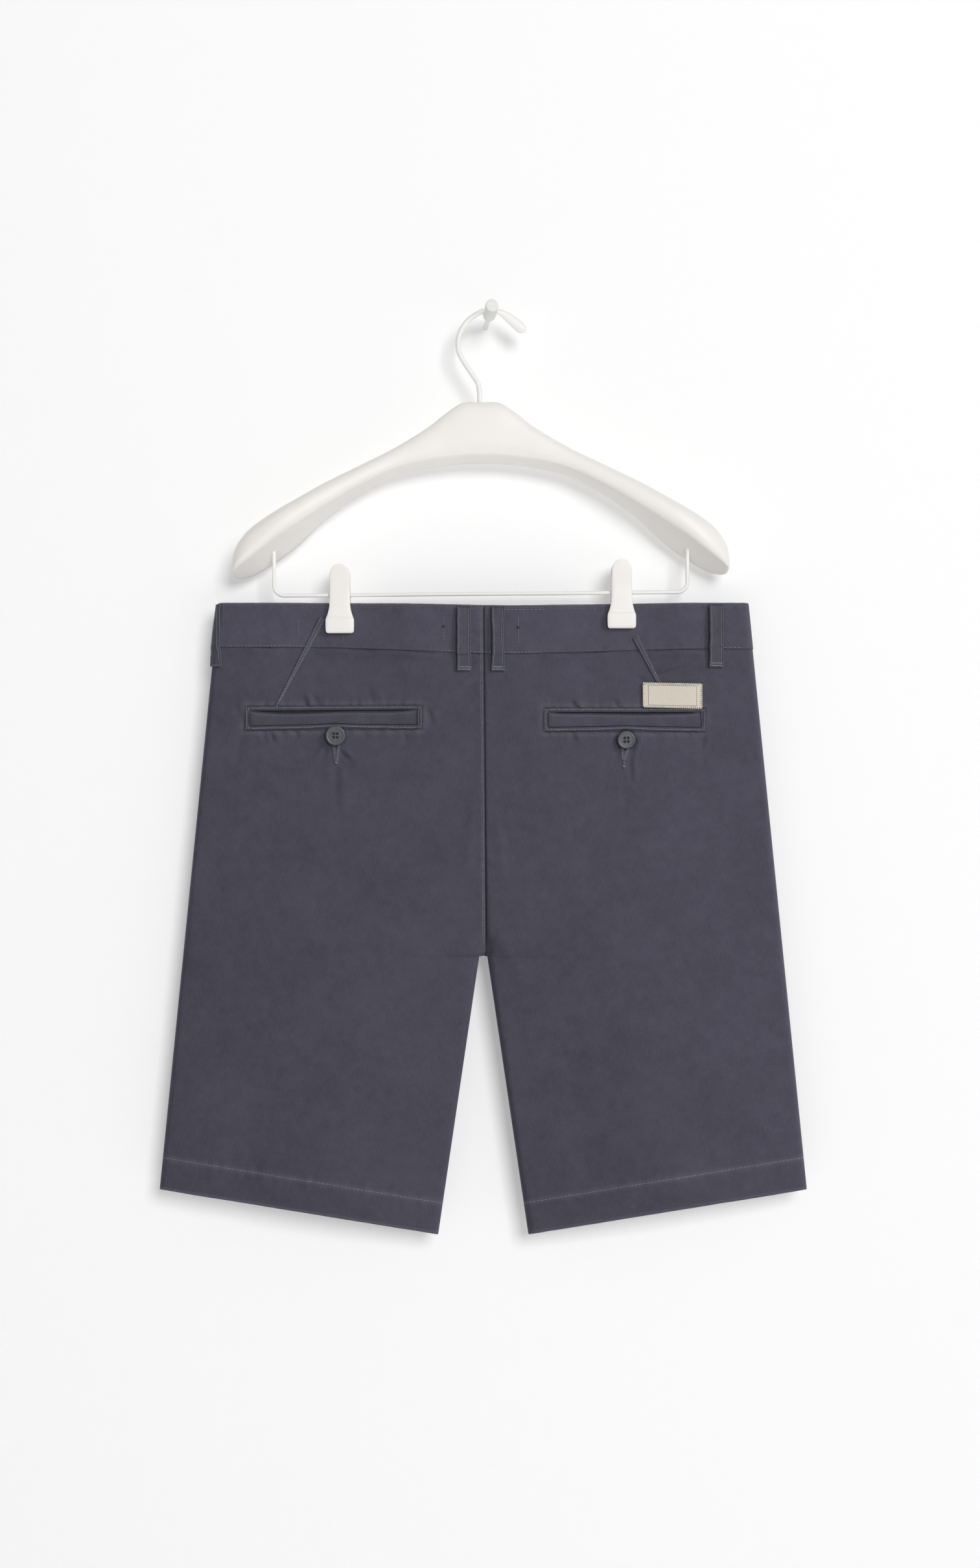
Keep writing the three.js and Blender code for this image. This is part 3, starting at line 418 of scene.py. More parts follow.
def pocket_foot(half, v):
    """How far the lower edge of a pocket bows up, at a share v of its half width: most by the button."""
    by_button = (BUTTONS[half][0] - POCKETS[half]["x"]) / (POCKETS[half]["width"] / 2)
    return 0.7 * (1 - v**2) + 0.8 * np.exp(-(((v - by_button) / 0.22) ** 2))


def pocket_mouth(half, x, drop):
    """1 inside a pocket's stitched frame, fading to 0 under the middle of its strips."""
    pocket = POCKETS[half]
    along, below = pocket_place(pocket, x, drop)
    half_w, half_h = pocket["width"] / 2, pocket["height"] / 2
    foot = half_h - pocket_foot(half, np.clip(along / half_w, -1, 1))
    across = 1 - smoothstep(np.abs(along), half_w - FRAME_WIDTH - 0.2, half_w - FRAME_WIDTH / 2)
    top = smoothstep(below, -half_h + FRAME_WIDTH / 2, -half_h + FRAME_WIDTH + 0.2)
    return across * top * (1 - smoothstep(below, foot - FRAME_WIDTH - 0.2, foot - FRAME_WIDTH / 2))


def pocket_relief(x, drop):
    """Back pockets: cloth drawn in round the frame, sunk behind the slit, puckered above and below."""
    total = np.zeros(np.broadcast(x, drop).shape)
    for k, (half, pocket) in enumerate(POCKETS.items()):
        half_w, half_h = pocket["width"] / 2, pocket["height"] / 2
        along, below = pocket_place(pocket, x, drop)
        for j, level in enumerate((-half_h, half_h)):
            share, off, length = along_line(along, below, -half_w, level, half_w, level)
            outside = np.where(j == 0, level - below, below - level)
            waves = pucker(share, off, length, 20 + 2 * k + j, reach=6, dent=0, height=0.42, pitch=8)
            total += waves * (outside > 0)
            total -= 0.35 * np.exp(-(((outside - 0.5) / 0.8) ** 2)) * (np.abs(along) < half_w)
        total -= 0.9 * pocket_mouth(half, x, drop)
    return total


def seam_swell(x, drop):
    """The panels' top edge swells over the waistband's seam in long low rolls, with a groove above each."""
    total = np.zeros(np.broadcast(x, drop).shape)
    for x1, x2, added, height in SWELLS:
        middle = band_bottom(x) + added + 0.5 * np.sin(x / 9.0)
        ends = smoothstep(x, x1, x1 + 9) * (1 - smoothstep(x, x2 - 9, x2))
        off = drop - middle
        swell = 1.3 * height * np.exp(-((off / np.where(off < 0, 0.9, 4.2)) ** 2))
        total += ends * (swell - 0.5 * np.exp(-(((off + 1.7) / 0.7) ** 2)))
    return total


def panel_relief(side, x, drop):
    """All that stands off, or is pressed into, the smooth bulge of a leg panel."""
    total = CREASE_DEPTH * short_ridges(CREASES, side, x, drop)
    total += ripple(x, drop, 3 if side == "back" else 4, 24, 90, 0.5)
    total += ripple(x, drop, 5 if side == "back" else 6, 7, 16, 0.11)
    up = hem_height(x, drop)
    for k, half in enumerate(HALVES):
        ends = [(SIGN[half] * HEM_OUTER_HALF, SIDE_DROP), (SIGN[half] * HEM_INNER_HALF, INSEAM_DROP)]
        (x1, drop1), (x2, drop2) = ends
        share, off, length = along_line(x, drop, x1, drop1 - HEM_DEPTH, x2, drop2 - HEM_DEPTH)
        total += pucker(share, off, length, 30 + k, reach=8, dent=0.3, height=0.22, pitch=11)
    total += 0.35 * (1 - smoothstep(up, HEM_DEPTH - 0.5, HEM_DEPTH + 1.5))
    if side == "back":
        total += pocket_relief(x, drop) + seam_swell(x, drop)
    total += centre_seam(x) * (drop < FORK_DROP)
    share, off, length = along_line(x, drop, -2.5, band_bottom(0), -2.5, FORK_DROP)
    total += pucker(share, off, length, 40, reach=5, dent=0.2, height=0.2, pitch=7)
    edge = (outer_edge(drop) - np.abs(x)) / FOLD_RADIUS
    fork = smoothstep((np.abs(x) - inner_roll(drop)) / FOLD_RADIUS, 0.1, 1.3)
    near_fork = lerp(1, fork, smoothstep(drop, FORK_DROP - 34, FORK_DROP - 8))
    return total * smoothstep(edge, 0.15, 1.2) * near_fork


def band_relief(side, x, drop):
    """The waistband: a groove under its top stitching, a felled seam at the centre and soft waves."""
    seed = 50 if side == "back" else 52
    total = ripple(x, drop, seed, 18, 70, 0.42) + ripple(x, drop, seed + 7, 6, 14, 0.1)
    total += CREASE_DEPTH * short_ridges(CREASES, side, x, drop)
    share = (x + WAIST_HALF) / (2 * WAIST_HALF)
    for k, off in enumerate((drop - 2.6, drop - band_bottom(x) + 1.0)):
        total += pucker(share, off, 2 * WAIST_HALF, seed + k, reach=4, dent=0.18, height=0.14, pitch=8)
    total += centre_seam(x)
    share, off, length = along_line(x, drop, -2.5, 0, -2.5, BAND_CENTRE)
    total += pucker(share, off, length, seed + 3, reach=4, dent=0.22, height=0.14)
    edge = (outer_edge(drop) - np.abs(x)) / FOLD_RADIUS
    return total * smoothstep(edge, 0.15, 1.2)


def place(side, x, drop, outward):
    """A point over the cloth, outward millimetres from the middle plane."""
    x, drop, outward = np.broadcast_arrays(x, drop, outward)
    leaning = x + seam_lean(drop) * np.exp(-((x / 30) ** 2))
    height = WAIST_Z - drop - sag(x, drop)
    return np.stack([SHORTS_X + leaning, HANG_Y + FACING[side] * outward, height], axis=-1)


def panel_out(side, x, drop):
    """Height of a leg panel's outside."""
    return GAP / 2 + half_depth(side, x, drop) + panel_relief(side, x, drop)


def band_out(side, x, drop):
    """Height of the waistband's outside."""
    return GAP / 2 + half_depth(side, x, drop) + BAND_PROUD + band_relief(side, x, drop)


def skin_out(side, x, drop):
    """Height of panel or waistband, whichever is there, eased over the seam between them."""
    step = smoothstep(drop - band_bottom(x), -0.6, 2.2)
    return lerp(band_out(side, x, drop), panel_out(side, x, drop), step)


def hem_drop(side, x, drop):
    """Where a place drawn on the flat cloth lies once the bulge has drawn the hem up."""
    rise = HEM_RISE * half_depth(side, x, drop) * smoothstep(drop, FORK_DROP, INSEAM_DROP)
    return drop - rise


def on_cloth(side, x, drop, lift):
    """Points lift millimetres off the cloth along its normal, with the normals; slopes span 0.8 mm."""
    x, drop, lift = np.broadcast_arrays(*(np.asarray(a, float) for a in (x, drop, lift)))
    step = 0.4

    def at(a, b):
        return place(side, a, hem_drop(side, a, b), skin_out(side, a, b))

    across = at(x + step, drop) - at(x - step, drop)
    down = at(x, drop + step) - at(x, drop - step)
    normal = np.cross(across, down)
    normal *= np.sign(normal[..., 1:2] * FACING[side])
    normal /= np.linalg.norm(normal, axis=-1, keepdims=True)
    return at(x, drop) + normal * lift[..., None], normal


# ---- Meshes ------------------------------------------------------------------------------------------------
def build_mesh(name, points, polygons, uv=None, layers=None):
    """A mesh in metres from millimetre points and arrays of polygons, turned so that its faces point out."""
    triangles = np.concatenate([p[:, [0, k, k + 1]] for p in polygons for k in range(1, p.shape[1] - 1)])
    a, b, c = (points[triangles[:, k]] for k in range(3))
    if np.einsum("ij,ij->i", a, np.cross(b, c)).sum() < 0:
        polygons = [p[:, ::-1] for p in polygons]
    loops = np.concatenate([p.ravel() for p in polygons]).astype(np.int32)
    sizes = np.concatenate([np.full(len(p), p.shape[1]) for p in polygons])
    starts = (np.cumsum(sizes) - sizes).astype(np.int32)
    mesh = bpy.data.meshes.new(name)
    mesh.vertices.add(len(points))
    mesh.vertices.foreach_set("co", (np.asarray(points) * MM).astype(np.float32).ravel())
    mesh.loops.add(len(loops))
    mesh.loops.foreach_set("vertex_index", loops)
    mesh.polygons.add(len(starts))
    mesh.polygons.foreach_set("loop_start", starts)
    mesh.polygons.foreach_set("use_smooth", np.ones(len(starts), bool))
    mesh.update(calc_edges=True)
    mesh.validate()
    if uv is not None:
        layer = mesh.uv_layers.new(name="cloth")
        layer.data.foreach_set("uv", (np.asarray(uv)[loops] * MM).astype(np.float32).ravel())
    for key, values in (layers or {}).items():
        layer = mesh.attributes.new(key, "FLOAT", "POINT")
        layer.data.foreach_set("value", np.asarray(values, np.float32).ravel())
    return mesh


PIECES = {}


def add_piece(name, mesh, slot, material, *stands_for):
    """Adds a piece to the scene, rides it on the one body and hides the imported parts it stands for."""
    piece = bpy.data.objects.new(name, mesh)
    bpy.context.scene.collection.objects.link(piece)
    mesh.materials.append(material)
    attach(piece, "root")
    if stands_for:
        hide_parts(*stands_for)
    PIECES[name] = piece
    return piece


def grid_quads(rows, columns, close_rows=False, close_columns=False, first=0):
    """Quads of a grid of points, closed on itself in either direction if asked."""
    i = np.arange(rows if close_rows else rows - 1)
    j = np.arange(columns if close_columns else columns - 1)
    i, j = np.meshgrid(i, j, indexing="ij")
    down, right = (i + 1) % rows, (j + 1) % columns
    index = [i * columns + j, down * columns + j, down * columns + right, i * columns + right]
    return first + np.stack([k.ravel() for k in index], axis=1)


def grid_normals(points):
    """Unit normals of a grid of points, from the slopes along and across it."""
    normal = np.cross(np.gradient(points, axis=1), np.gradient(points, axis=0))
    return normal / np.maximum(np.linalg.norm(normal, axis=-1, keepdims=True), 1e-9)


def shell(name, outer, inner, bulge, uv, layers=None, steps=4):
    """A closed wall between two grids. Its rim is a half round, bulge (top, right, bottom, left) times as
    deep as half the wall is thick."""
    rows, columns = outer.shape[:2]
    index = np.arange(rows * columns).reshape(rows, columns)
    rim = np.concatenate([index[0, :-1], index[:-1, -1], index[-1, :0:-1], index[:0:-1, 0]])
    inward = np.concatenate([index[1, :-1], index[:-1, -2], index[-2, :0:-1], index[:0:-1, 1]])
    amount = np.concatenate(
        [np.full(n, b) for n, b in zip((columns - 1, rows - 1, columns - 1, rows - 1), bulge)]
    )
    out, into = outer.reshape(-1, 3), inner.reshape(-1, 3)
    edge = out[rim] - out[inward]
    edge /= np.maximum(np.linalg.norm(edge, axis=1, keepdims=True), 1e-9)
    middle, half = (out[rim] + into[rim]) / 2, (out[rim] - into[rim]) / 2
    depth = np.linalg.norm(half, axis=1, keepdims=True) * amount[:, None]
    angles = np.pi * np.arange(1, steps) / steps
    rings = [middle + half * math.cos(a) + edge * depth * math.sin(a) for a in angles]
    points = np.concatenate([out, into, *rings])
    count = rows * columns
    chain = [rim, *(2 * count + k * len(rim) + np.arange(len(rim)) for k in range(steps - 1)), count + rim]
    bridges = []
    for near, far in zip(chain[:-1], chain[1:]):
        bridges.append(np.stack([near, np.roll(near, -1), np.roll(far, -1), far], axis=1))
    top = grid_quads(rows, columns)
    polygons = [top, count + top[:, ::-1], *[b[:, ::-1] for b in bridges]]
    flat = uv.reshape(-1, 2)
    full_uv = np.concatenate([flat, flat, *[flat[rim]] * (steps - 1)])
    spread = {}
    for key, values in (layers or {}).items():
        values = np.broadcast_to(values, (rows, columns)).ravel()
        spread[key] = np.concatenate([values, values, *[values[rim]] * (steps - 1)])
    return build_mesh(name, points, polygons, full_uv, spread)


def tube(name, rings, uv=None, closed=False, layers=None):
    """A closed tube through rings of points, with a fan over each end unless it runs back to its start."""
    count, sides = rings.shape[:2]
    polygons = [grid_quads(count, sides, close_rows=closed, close_columns=True)]
    points = rings.reshape(-1, 3)
    if not closed:
        points = np.concatenate([points, rings[0].mean(0)[None], rings[-1].mean(0)[None]])
        around = np.arange(sides)
        after = (around + 1) % sides
        start, end = count * sides, count * sides + 1
        last = (count - 1) * sides
        polygons.append(np.stack([np.full(sides, start), around, after], axis=1))
        polygons.append(np.stack([np.full(sides, end), last + after, last + around], axis=1))
        if uv is not None:
            uv = np.concatenate([uv.reshape(-1, 2), uv[0].mean(0)[None], uv[-1].mean(0)[None]])
    elif uv is not None:
        uv = uv.reshape(-1, 2)
    return build_mesh(name, points, polygons, uv, layers)


def join_tubes(name, rings, uv=None):
    """Many capped tubes in one mesh, from an array (tube, ring, side, xyz)."""
    tubes, count, sides = rings.shape[:3]
    each = count * sides
    quads = grid_quads(count, sides, close_columns=True)
    caps = np.stack([np.arange(sides)[::-1], (count - 1) * sides + np.arange(sides)])
    shift = (np.arange(tubes) * each)[:, None, None]
    polygons = [(quads[None] + shift).reshape(-1, 4), (caps[None] + shift).reshape(-1, sides)]
    return build_mesh(name, rings.reshape(-1, 3), polygons, uv)


# ---- Finishes ----------------------------------------------------------------------------------------------
def new_material(name):
    """An empty material with its node tree, its shader and a function that adds a node."""
    material = bpy.data.materials.new(name)
    material.use_nodes = True
    tree = material.node_tree
    shader = tree.nodes["Principled BSDF"]

    def node(kind, **values):
        made = tree.nodes.new(kind)
        for key, value in values.items():
            if key in made.inputs:
                made.inputs[key].default_value = value
            else:
                setattr(made, key, value)
        return made

    return material, tree.links.new, shader, node


def two_tone(node, link, source, low, dark, high, light):
    """A colour that runs from dark, where the source is at low, to light, where it is at high."""
    ramp = node("ShaderNodeValToRGB")
    for element, position, colour in zip(ramp.color_ramp.elements, (low, high), (dark, light)):
        element.position = position
        element.color = (*colour, 1)
    link(source, ramp.inputs[0])
    return ramp.outputs[0]


def add_scaled(node, link, source, factor, base):
    """source times factor, plus base, each a socket but the factor."""
    total = node("ShaderNodeMath", operation="MULTIPLY_ADD")
    total.inputs[1].default_value = factor
    link(source, total.inputs[0])
    link(base, total.inputs[2])
    return total.outputs[0]


def twill(name, dark, light, worn, weave=1.0):
    """Brushed cotton twill: fine diagonal wales, a grainy and cloudy dye, edges worn paler, and painted shade
    that darkens it where a mesh attribute asks.
    """
    material, link, shader, node = new_material(name)
    shader.inputs["Roughness"].default_value = 0.88
    shader.inputs["Specular IOR Level"].default_value = 0.22
    shader.inputs["Sheen Weight"].default_value = 0.2
    shader.inputs["Sheen Roughness"].default_value = 0.45
    shader.inputs["Sheen Tint"].default_value = (0.62, 0.66, 0.8, 1)
    place_on = node("ShaderNodeUVMap", uv_map="cloth")
    grain = node("ShaderNodeTexNoise", Scale=1300.0, Detail=4.0, Roughness=0.7)
    cloud = node("ShaderNodeTexNoise", Scale=70.0, Detail=6.0, Roughness=0.68)
    patch = node("ShaderNodeTexNoise", Scale=16.0, Detail=3.0)
    streak_map = node("ShaderNodeMapping", Scale=(1500.0, 160.0, 1.0))
    streak = node("ShaderNodeTexNoise", Scale=1.0, Detail=2.0)
    wale_map = node("ShaderNodeMapping", Rotation=(0, 0, math.radians(62)))
    wale = node("ShaderNodeTexWave", Scale=260.0, Distortion=1.6, Detail=2.0)
    wale.inputs["Detail Scale"].default_value = 3.0
    for texture in (grain, cloud, patch, streak_map, wale_map):
        link(place_on.outputs[0], texture.inputs["Vector"])
    link(streak_map.outputs[0], streak.inputs["Vector"])
    link(wale_map.outputs[0], wale.inputs["Vector"])
    streaks = node("ShaderNodeMath", operation="MULTIPLY")
    streaks.inputs[1].default_value = 0.25
    link(streak.outputs[0], streaks.inputs[0])
    spread = add_scaled(node, link, grain.outputs[0], 0.55, streaks.outputs[0])
    clouded = add_scaled(node, link, cloud.outputs[0], 0.3, spread)
    wash = add_scaled(node, link, patch.outputs[0], 0.18, clouded)
    dye = two_tone(node, link, wash, 0.44, dark, 0.84, light)
    wear = node("ShaderNodeAttribute", attribute_name="wear")
    rub = node("ShaderNodeMath", operation="MULTIPLY")
    link(wear.outputs["Fac"], rub.inputs[0])
    link(grain.outputs[0], rub.inputs[1])
    mix = node("ShaderNodeMix", data_type="RGBA")
    mix.inputs["B"].default_value = (*worn, 1)
    link(rub.outputs[0], mix.inputs["Factor"])
    link(dye, mix.inputs["A"])
    # painted shade: a mesh attribute mixes the dye towards a tenth of its dark tone, in seams, slits, strip
    # edges and round buttons
    shade = node("ShaderNodeAttribute", attribute_name="shade")
    painted_shade_mix = node("ShaderNodeMix", data_type="RGBA")
    painted_shade_mix.inputs["B"].default_value = (*(c * 0.1 for c in dark), 1)
    link(shade.outputs["Fac"], painted_shade_mix.inputs["Factor"])
    link(mix.outputs["Result"], painted_shade_mix.inputs["A"])
    link(painted_shade_mix.outputs["Result"], shader.inputs["Base Color"])
    height = add_scaled(node, link, wale.outputs["Fac"], 0.26, spread)
    bump = node("ShaderNodeBump", Strength=0.5 * weave, Distance=0.00028)
    link(height, bump.inputs["Height"])
    link(bump.outputs[0], shader.inputs["Normal"])
    return material


def spun_thread(name, colour):
    """Sewing thread: a soft sheen and a faint twist."""
    material, link, shader, node = new_material(name)
    shader.inputs["Roughness"].default_value = 0.7
    shader.inputs["Sheen Weight"].default_value = 0.2
    coords = node("ShaderNodeTexCoord")
    noise = node("ShaderNodeTexNoise", Scale=420.0, Detail=3.0)
    link(coords.outputs["Object"], noise.inputs["Vector"])
    dark, light = [c * 0.72 for c in colour], [c * 1.22 for c in colour]
    link(two_tone(node, link, noise.outputs[0], 0.3, dark, 0.75, light), shader.inputs["Base Color"])
    return material


def satin_white(name, colour, roughness, grain):
    """Moulded or painted white: barely mottled, with a fine orange peel."""
    material, link, shader, node = new_material(name)
    shader.inputs["Roughness"].default_value = roughness
    shader.inputs["Specular IOR Level"].default_value = 0.4
    coords = node("ShaderNodeTexCoord")
    cloud = node("ShaderNodeTexNoise", Scale=22.0, Detail=4.0)
    peel = node("ShaderNodeTexNoise", Scale=grain, Detail=2.0)
    bump = node("ShaderNodeBump", Strength=0.25, Distance=0.0001)
    for texture in (cloud, peel):
        link(coords.outputs["Object"], texture.inputs["Vector"])
    mottled = two_tone(node, link, cloud.outputs[0], 0.3, [c * 0.975 for c in colour], 0.7, colour)
    link(mottled, shader.inputs["Base Color"])
    link(peel.outputs[0], bump.inputs["Height"])
    link(bump.outputs[0], shader.inputs["Normal"])
    return material


def button_resin(name):
    """Dyed resin with a faint cloudy figure."""
    material, link, shader, node = new_material(name)
    shader.inputs["Roughness"].default_value = 0.38
    shader.inputs["Specular IOR Level"].default_value = 0.45
    coords = node("ShaderNodeTexCoord")
    figure = node("ShaderNodeTexNoise", Scale=240.0, Detail=5.0, Distortion=1.2)
    link(coords.outputs["Object"], figure.inputs["Vector"])
    resin = two_tone(node, link, figure.outputs[0], 0.35, (0.066, 0.07, 0.08), 0.7, (0.09, 0.096, 0.107))
    link(resin, shader.inputs["Base Color"])
    return material


def label_cloth(name):
    """Woven cream label: fine ribs, and a thin frame line woven in from the edge, further in at its two ends.
    The line is where the distance to the nearest side, read from the label's own map, is near one value."""
    material, link, shader, node = new_material(name)
    shader.inputs["Roughness"].default_value = 0.85
    shader.inputs["Sheen Weight"].default_value = 0.15
    place_on = node("ShaderNodeUVMap", uv_map="cloth")
    split = node("ShaderNodeSeparateXYZ")
    link(place_on.outputs[0], split.inputs[0])
    sides = []
    for axis, half in ((0, LABEL["width"] / 2 - 2.4), (1, LABEL["height"] / 2)):
        size = node("ShaderNodeMath", operation="ABSOLUTE")
        link(split.outputs[axis], size.inputs[0])
        to_edge = node("ShaderNodeMath", operation="SUBTRACT")
        to_edge.inputs[0].default_value = half * MM
        link(size.outputs[0], to_edge.inputs[1])
        sides.append(to_edge)
    nearest = node("ShaderNodeMath", operation="MINIMUM")
    for k, side in enumerate(sides):
        link(side.outputs[0], nearest.inputs[k])
    line = node("ShaderNodeMath", operation="COMPARE")
    line.inputs[1].default_value = 1.8 * MM
    line.inputs[2].default_value = 0.2 * MM
    link(nearest.outputs[0], line.inputs[0])
    ribs = node("ShaderNodeTexNoise", Scale=1400.0, Detail=3.0)
    link(place_on.outputs[0], ribs.inputs["Vector"])
    cream = two_tone(node, link, ribs.outputs[0], 0.3, (0.535, 0.478, 0.4), 0.7, (0.706, 0.645, 0.561))
    mix = node("ShaderNodeMix", data_type="RGBA")
    mix.inputs["B"].default_value = (0.2, 0.19, 0.19, 1)
    link(line.outputs[0], mix.inputs["Factor"])
    link(cream, mix.inputs["A"])
    link(mix.outputs["Result"], shader.inputs["Base Color"])
    bump = node("ShaderNodeBump", Strength=0.5, Distance=0.0002)
    link(ribs.outputs[0], bump.inputs["Height"])
    link(bump.outputs[0], shader.inputs["Normal"])
    return material


NAVY_DARK, NAVY_LIGHT, NAVY_WORN = (0.042, 0.0395, 0.057), (0.0845, 0.0805, 0.11), (0.19, 0.2, 0.245)
NAVY_TWILL = twill("navy_twill", NAVY_DARK, NAVY_LIGHT, NAVY_WORN)
NAVY_BAND = twill("navy_band_twill", (0.045, 0.043, 0.062), (0.0925, 0.0895, 0.122), NAVY_WORN)
NAVY_TRIM = twill("navy_trim_twill", (0.045, 0.043, 0.059), (0.09, 0.088, 0.115), NAVY_WORN, 1.3)
NAVY_THREAD = spun_thread("navy_thread", (0.2, 0.21, 0.255))
FAINT_THREAD = spun_thread("faint_thread", (0.115, 0.117, 0.145))
PURL_THREAD = spun_thread("purl_thread", (0.14, 0.152, 0.19))
NAVY_CORD = spun_thread("navy_cord", (0.068, 0.07, 0.088))
# near black: thread for the tack knots, and painted shade in the buttonhole gaps and inside the button holes
NEAR_BLACK_AND_SHADE = spun_thread("near_black_thread_and_painted_shade", (0.014, 0.014, 0.018))
BUTTON_THREAD = spun_thread("button_thread", (0.02, 0.021, 0.025))
CREAM_THREAD = spun_thread("cream_thread", (0.72, 0.67, 0.55))
BUTTON_RESIN = button_resin("button_resin")
LABEL_CLOTH = label_cloth("label_cloth")
HANGER_WHITE = satin_white("hanger_white", (0.87, 0.845, 0.81), 0.42, 900.0)
WIRE_WHITE = satin_white("wire_white", (0.87, 0.855, 0.825), 0.38, 1600.0)
PEG_WHITE = satin_white("peg_white", (0.8, 0.8, 0.78), 0.6, 700.0)


# ---- Leg panels --------------------------------------------------------------------------------------------
def panel_rows():
    """Drops of a panel's rows, measured down its inner edge: close together at the pockets and the hem."""
    stretches = [(36, 46, 20), (46, 78, 30), (78, 136, 88), (136, 270, 76), (270, 290, 24), (290, 474, 92)]
    rows = [np.linspace(low, high, count, endpoint=False) for low, high, count in stretches]
    return np.concatenate([*rows, np.linspace(474, INSEAM_DROP, 28)])


def panel_shares(count):
    """Shares of a panel's width: equal angles round the rolls at both edges, even steps between them."""
    width = WAIST_HALF
    angles = np.linspace(0, np.pi / 2, 8)[:-1]
    rolled = FOLD_RADIUS / width * (1 - np.cos(angles))
    start = FOLD_RADIUS / width
    even = np.linspace(start, 1 - start, count)
    return np.concatenate([rolled, even, 1 - rolled[::-1]])


def wear_of(side, x, drop):
    """How rubbed the cloth is, from 0 to 1: along the hem's edge, the folds, the seams and the pockets."""
    up = hem_height(x, drop)
    edge = outer_edge(drop) - np.abs(x)
    worn = 0.55 * np.exp(-((up / 1.2) ** 2)) + 0.25 * np.exp(-((edge / 1.4) ** 2))
    worn = worn + 0.3 * np.exp(-(((up - HEM_DEPTH) / 2.2) ** 2))
    worn = worn + 0.14 * np.exp(-(((x + 1.2) / 0.8) ** 2)) * (drop < FORK_DROP)
    if side == "back":
        for pocket in POCKETS.values():
            along, below = pocket_place(pocket, x, drop)
            off_x = np.abs(along) - pocket["width"] / 2
            off_d = np.abs(below) - pocket["height"] / 2
            off = np.hypot(np.maximum(off_x, 0), np.maximum(off_d, 0))
            worn = worn + 0.2 * np.exp(-(((off - 2.5) / 2) ** 2))
    return np.clip(worn, 0, 1)


def painted_shade_of(side, x, drop):
    """Painted shade, 0 to 1: beside the centre seam, under the band, in the slits, round frames and buttons.
    """
    shade = 0.75 * np.exp(-(((x - 0.4) / 0.6) ** 2)) * (drop < FORK_DROP)
    shade = shade + 0.5 * np.exp(-(((drop - band_bottom(x) - 0.2) / 0.6) ** 2))
    if side == "back":
        for half, pocket in POCKETS.items():
            along, below = pocket_place(pocket, x, drop)
            shade = shade + 0.7 * pocket_mouth(half, x, drop)
            off = np.maximum(np.abs(along) - pocket["width"] / 2, np.abs(below) - pocket["height"] / 2)
            shade = shade + 0.35 * np.exp(-(((off - 0.3) / 0.6) ** 2))
            button_x, button_drop = BUTTONS[half]
            off = np.hypot(x - button_x, drop - button_drop) - BUTTON_SHADE
            shade = shade + 0.45 * np.exp(-((off / 1.3) ** 2))
    return np.clip(shade, 0, 0.9)


def cut_of(outer):
    """The cut of a sheet from its outer grid, in metres: longest row, longest column and area."""
    across = np.linalg.norm(np.diff(outer, axis=1), axis=-1)
    down = np.linalg.norm(np.diff(outer, axis=0), axis=-1)
    a, b = np.diff(outer, axis=1)[:-1], np.diff(outer, axis=0)[:, :-1]
    area = np.linalg.norm(np.cross(a, b), axis=-1).sum()
    return across.sum(1).max() * MM, down.sum(0).max() * MM, area * MM**2


CUTS = {}


def inwards(outer, thickness, side, sign, seam):
    """The grid moved in by its thickness along its normals, kept on its own side of the seams."""
    normal = grid_normals(outer)
    normal *= np.sign(np.median(normal[..., 1]) * -FACING[side])
    inner = outer + normal * thickness[..., None]
    inner[..., 1] = HANG_Y + FACING[side] * np.maximum(FACING[side] * (inner[..., 1] - HANG_Y), GAP / 2)
    line = SHORTS_X + seam
    inner[..., 0] = line + sign * np.maximum(sign * (inner[..., 0] - line), SEAM / 2)
    return inner


def leg_panel(side, half):
    """A leg panel: rows from the waistband to the hem, straight across the flat cloth, bulged and creased."""
    sign = SIGN[half]
    inner_drop = panel_rows()[:, None]
    share = panel_shares(112 if side == "back" else 92)[None, :]
    tilt = np.clip((inner_drop - TILT_FROM) / (INSEAM_DROP - TILT_FROM), 0, 1)
    outer_drop = inner_drop - (INSEAM_DROP - SIDE_DROP) * tilt
    x = sign * lerp(outer_edge(outer_drop), np.maximum(inner_edge(inner_drop), SEAM / 2), share)
    drop = lerp(outer_drop, inner_drop, share)
    top = band_bottom(x) + 0.12
    blend = 1 - smoothstep(inner_drop, 36, 70)
    drop = drop + (top - 36) * blend
    outer = place(side, x, hem_drop(side, x, drop), panel_out(side, x, drop))
    thick = np.where(hem_height(x, drop) < HEM_DEPTH + 4, HEM_CLOTH, CLOTH)
    inner = inwards(outer, thick, side, sign, seam_lean(drop))
    uv = np.stack([x * FACING[side], -drop], axis=-1)
    layers = {"wear": wear_of(side, x, drop), "shade": painted_shade_of(side, x, drop)}
    mesh = shell(f"{side}_panel_{half}_cloth", outer, inner, (0, 0, 0.9, 0), uv, layers)
    CUTS[mesh.name] = cut_of(outer)
    add_piece(mesh.name, mesh, "twill", NAVY_TWILL, f"{side}_panel_{half}")


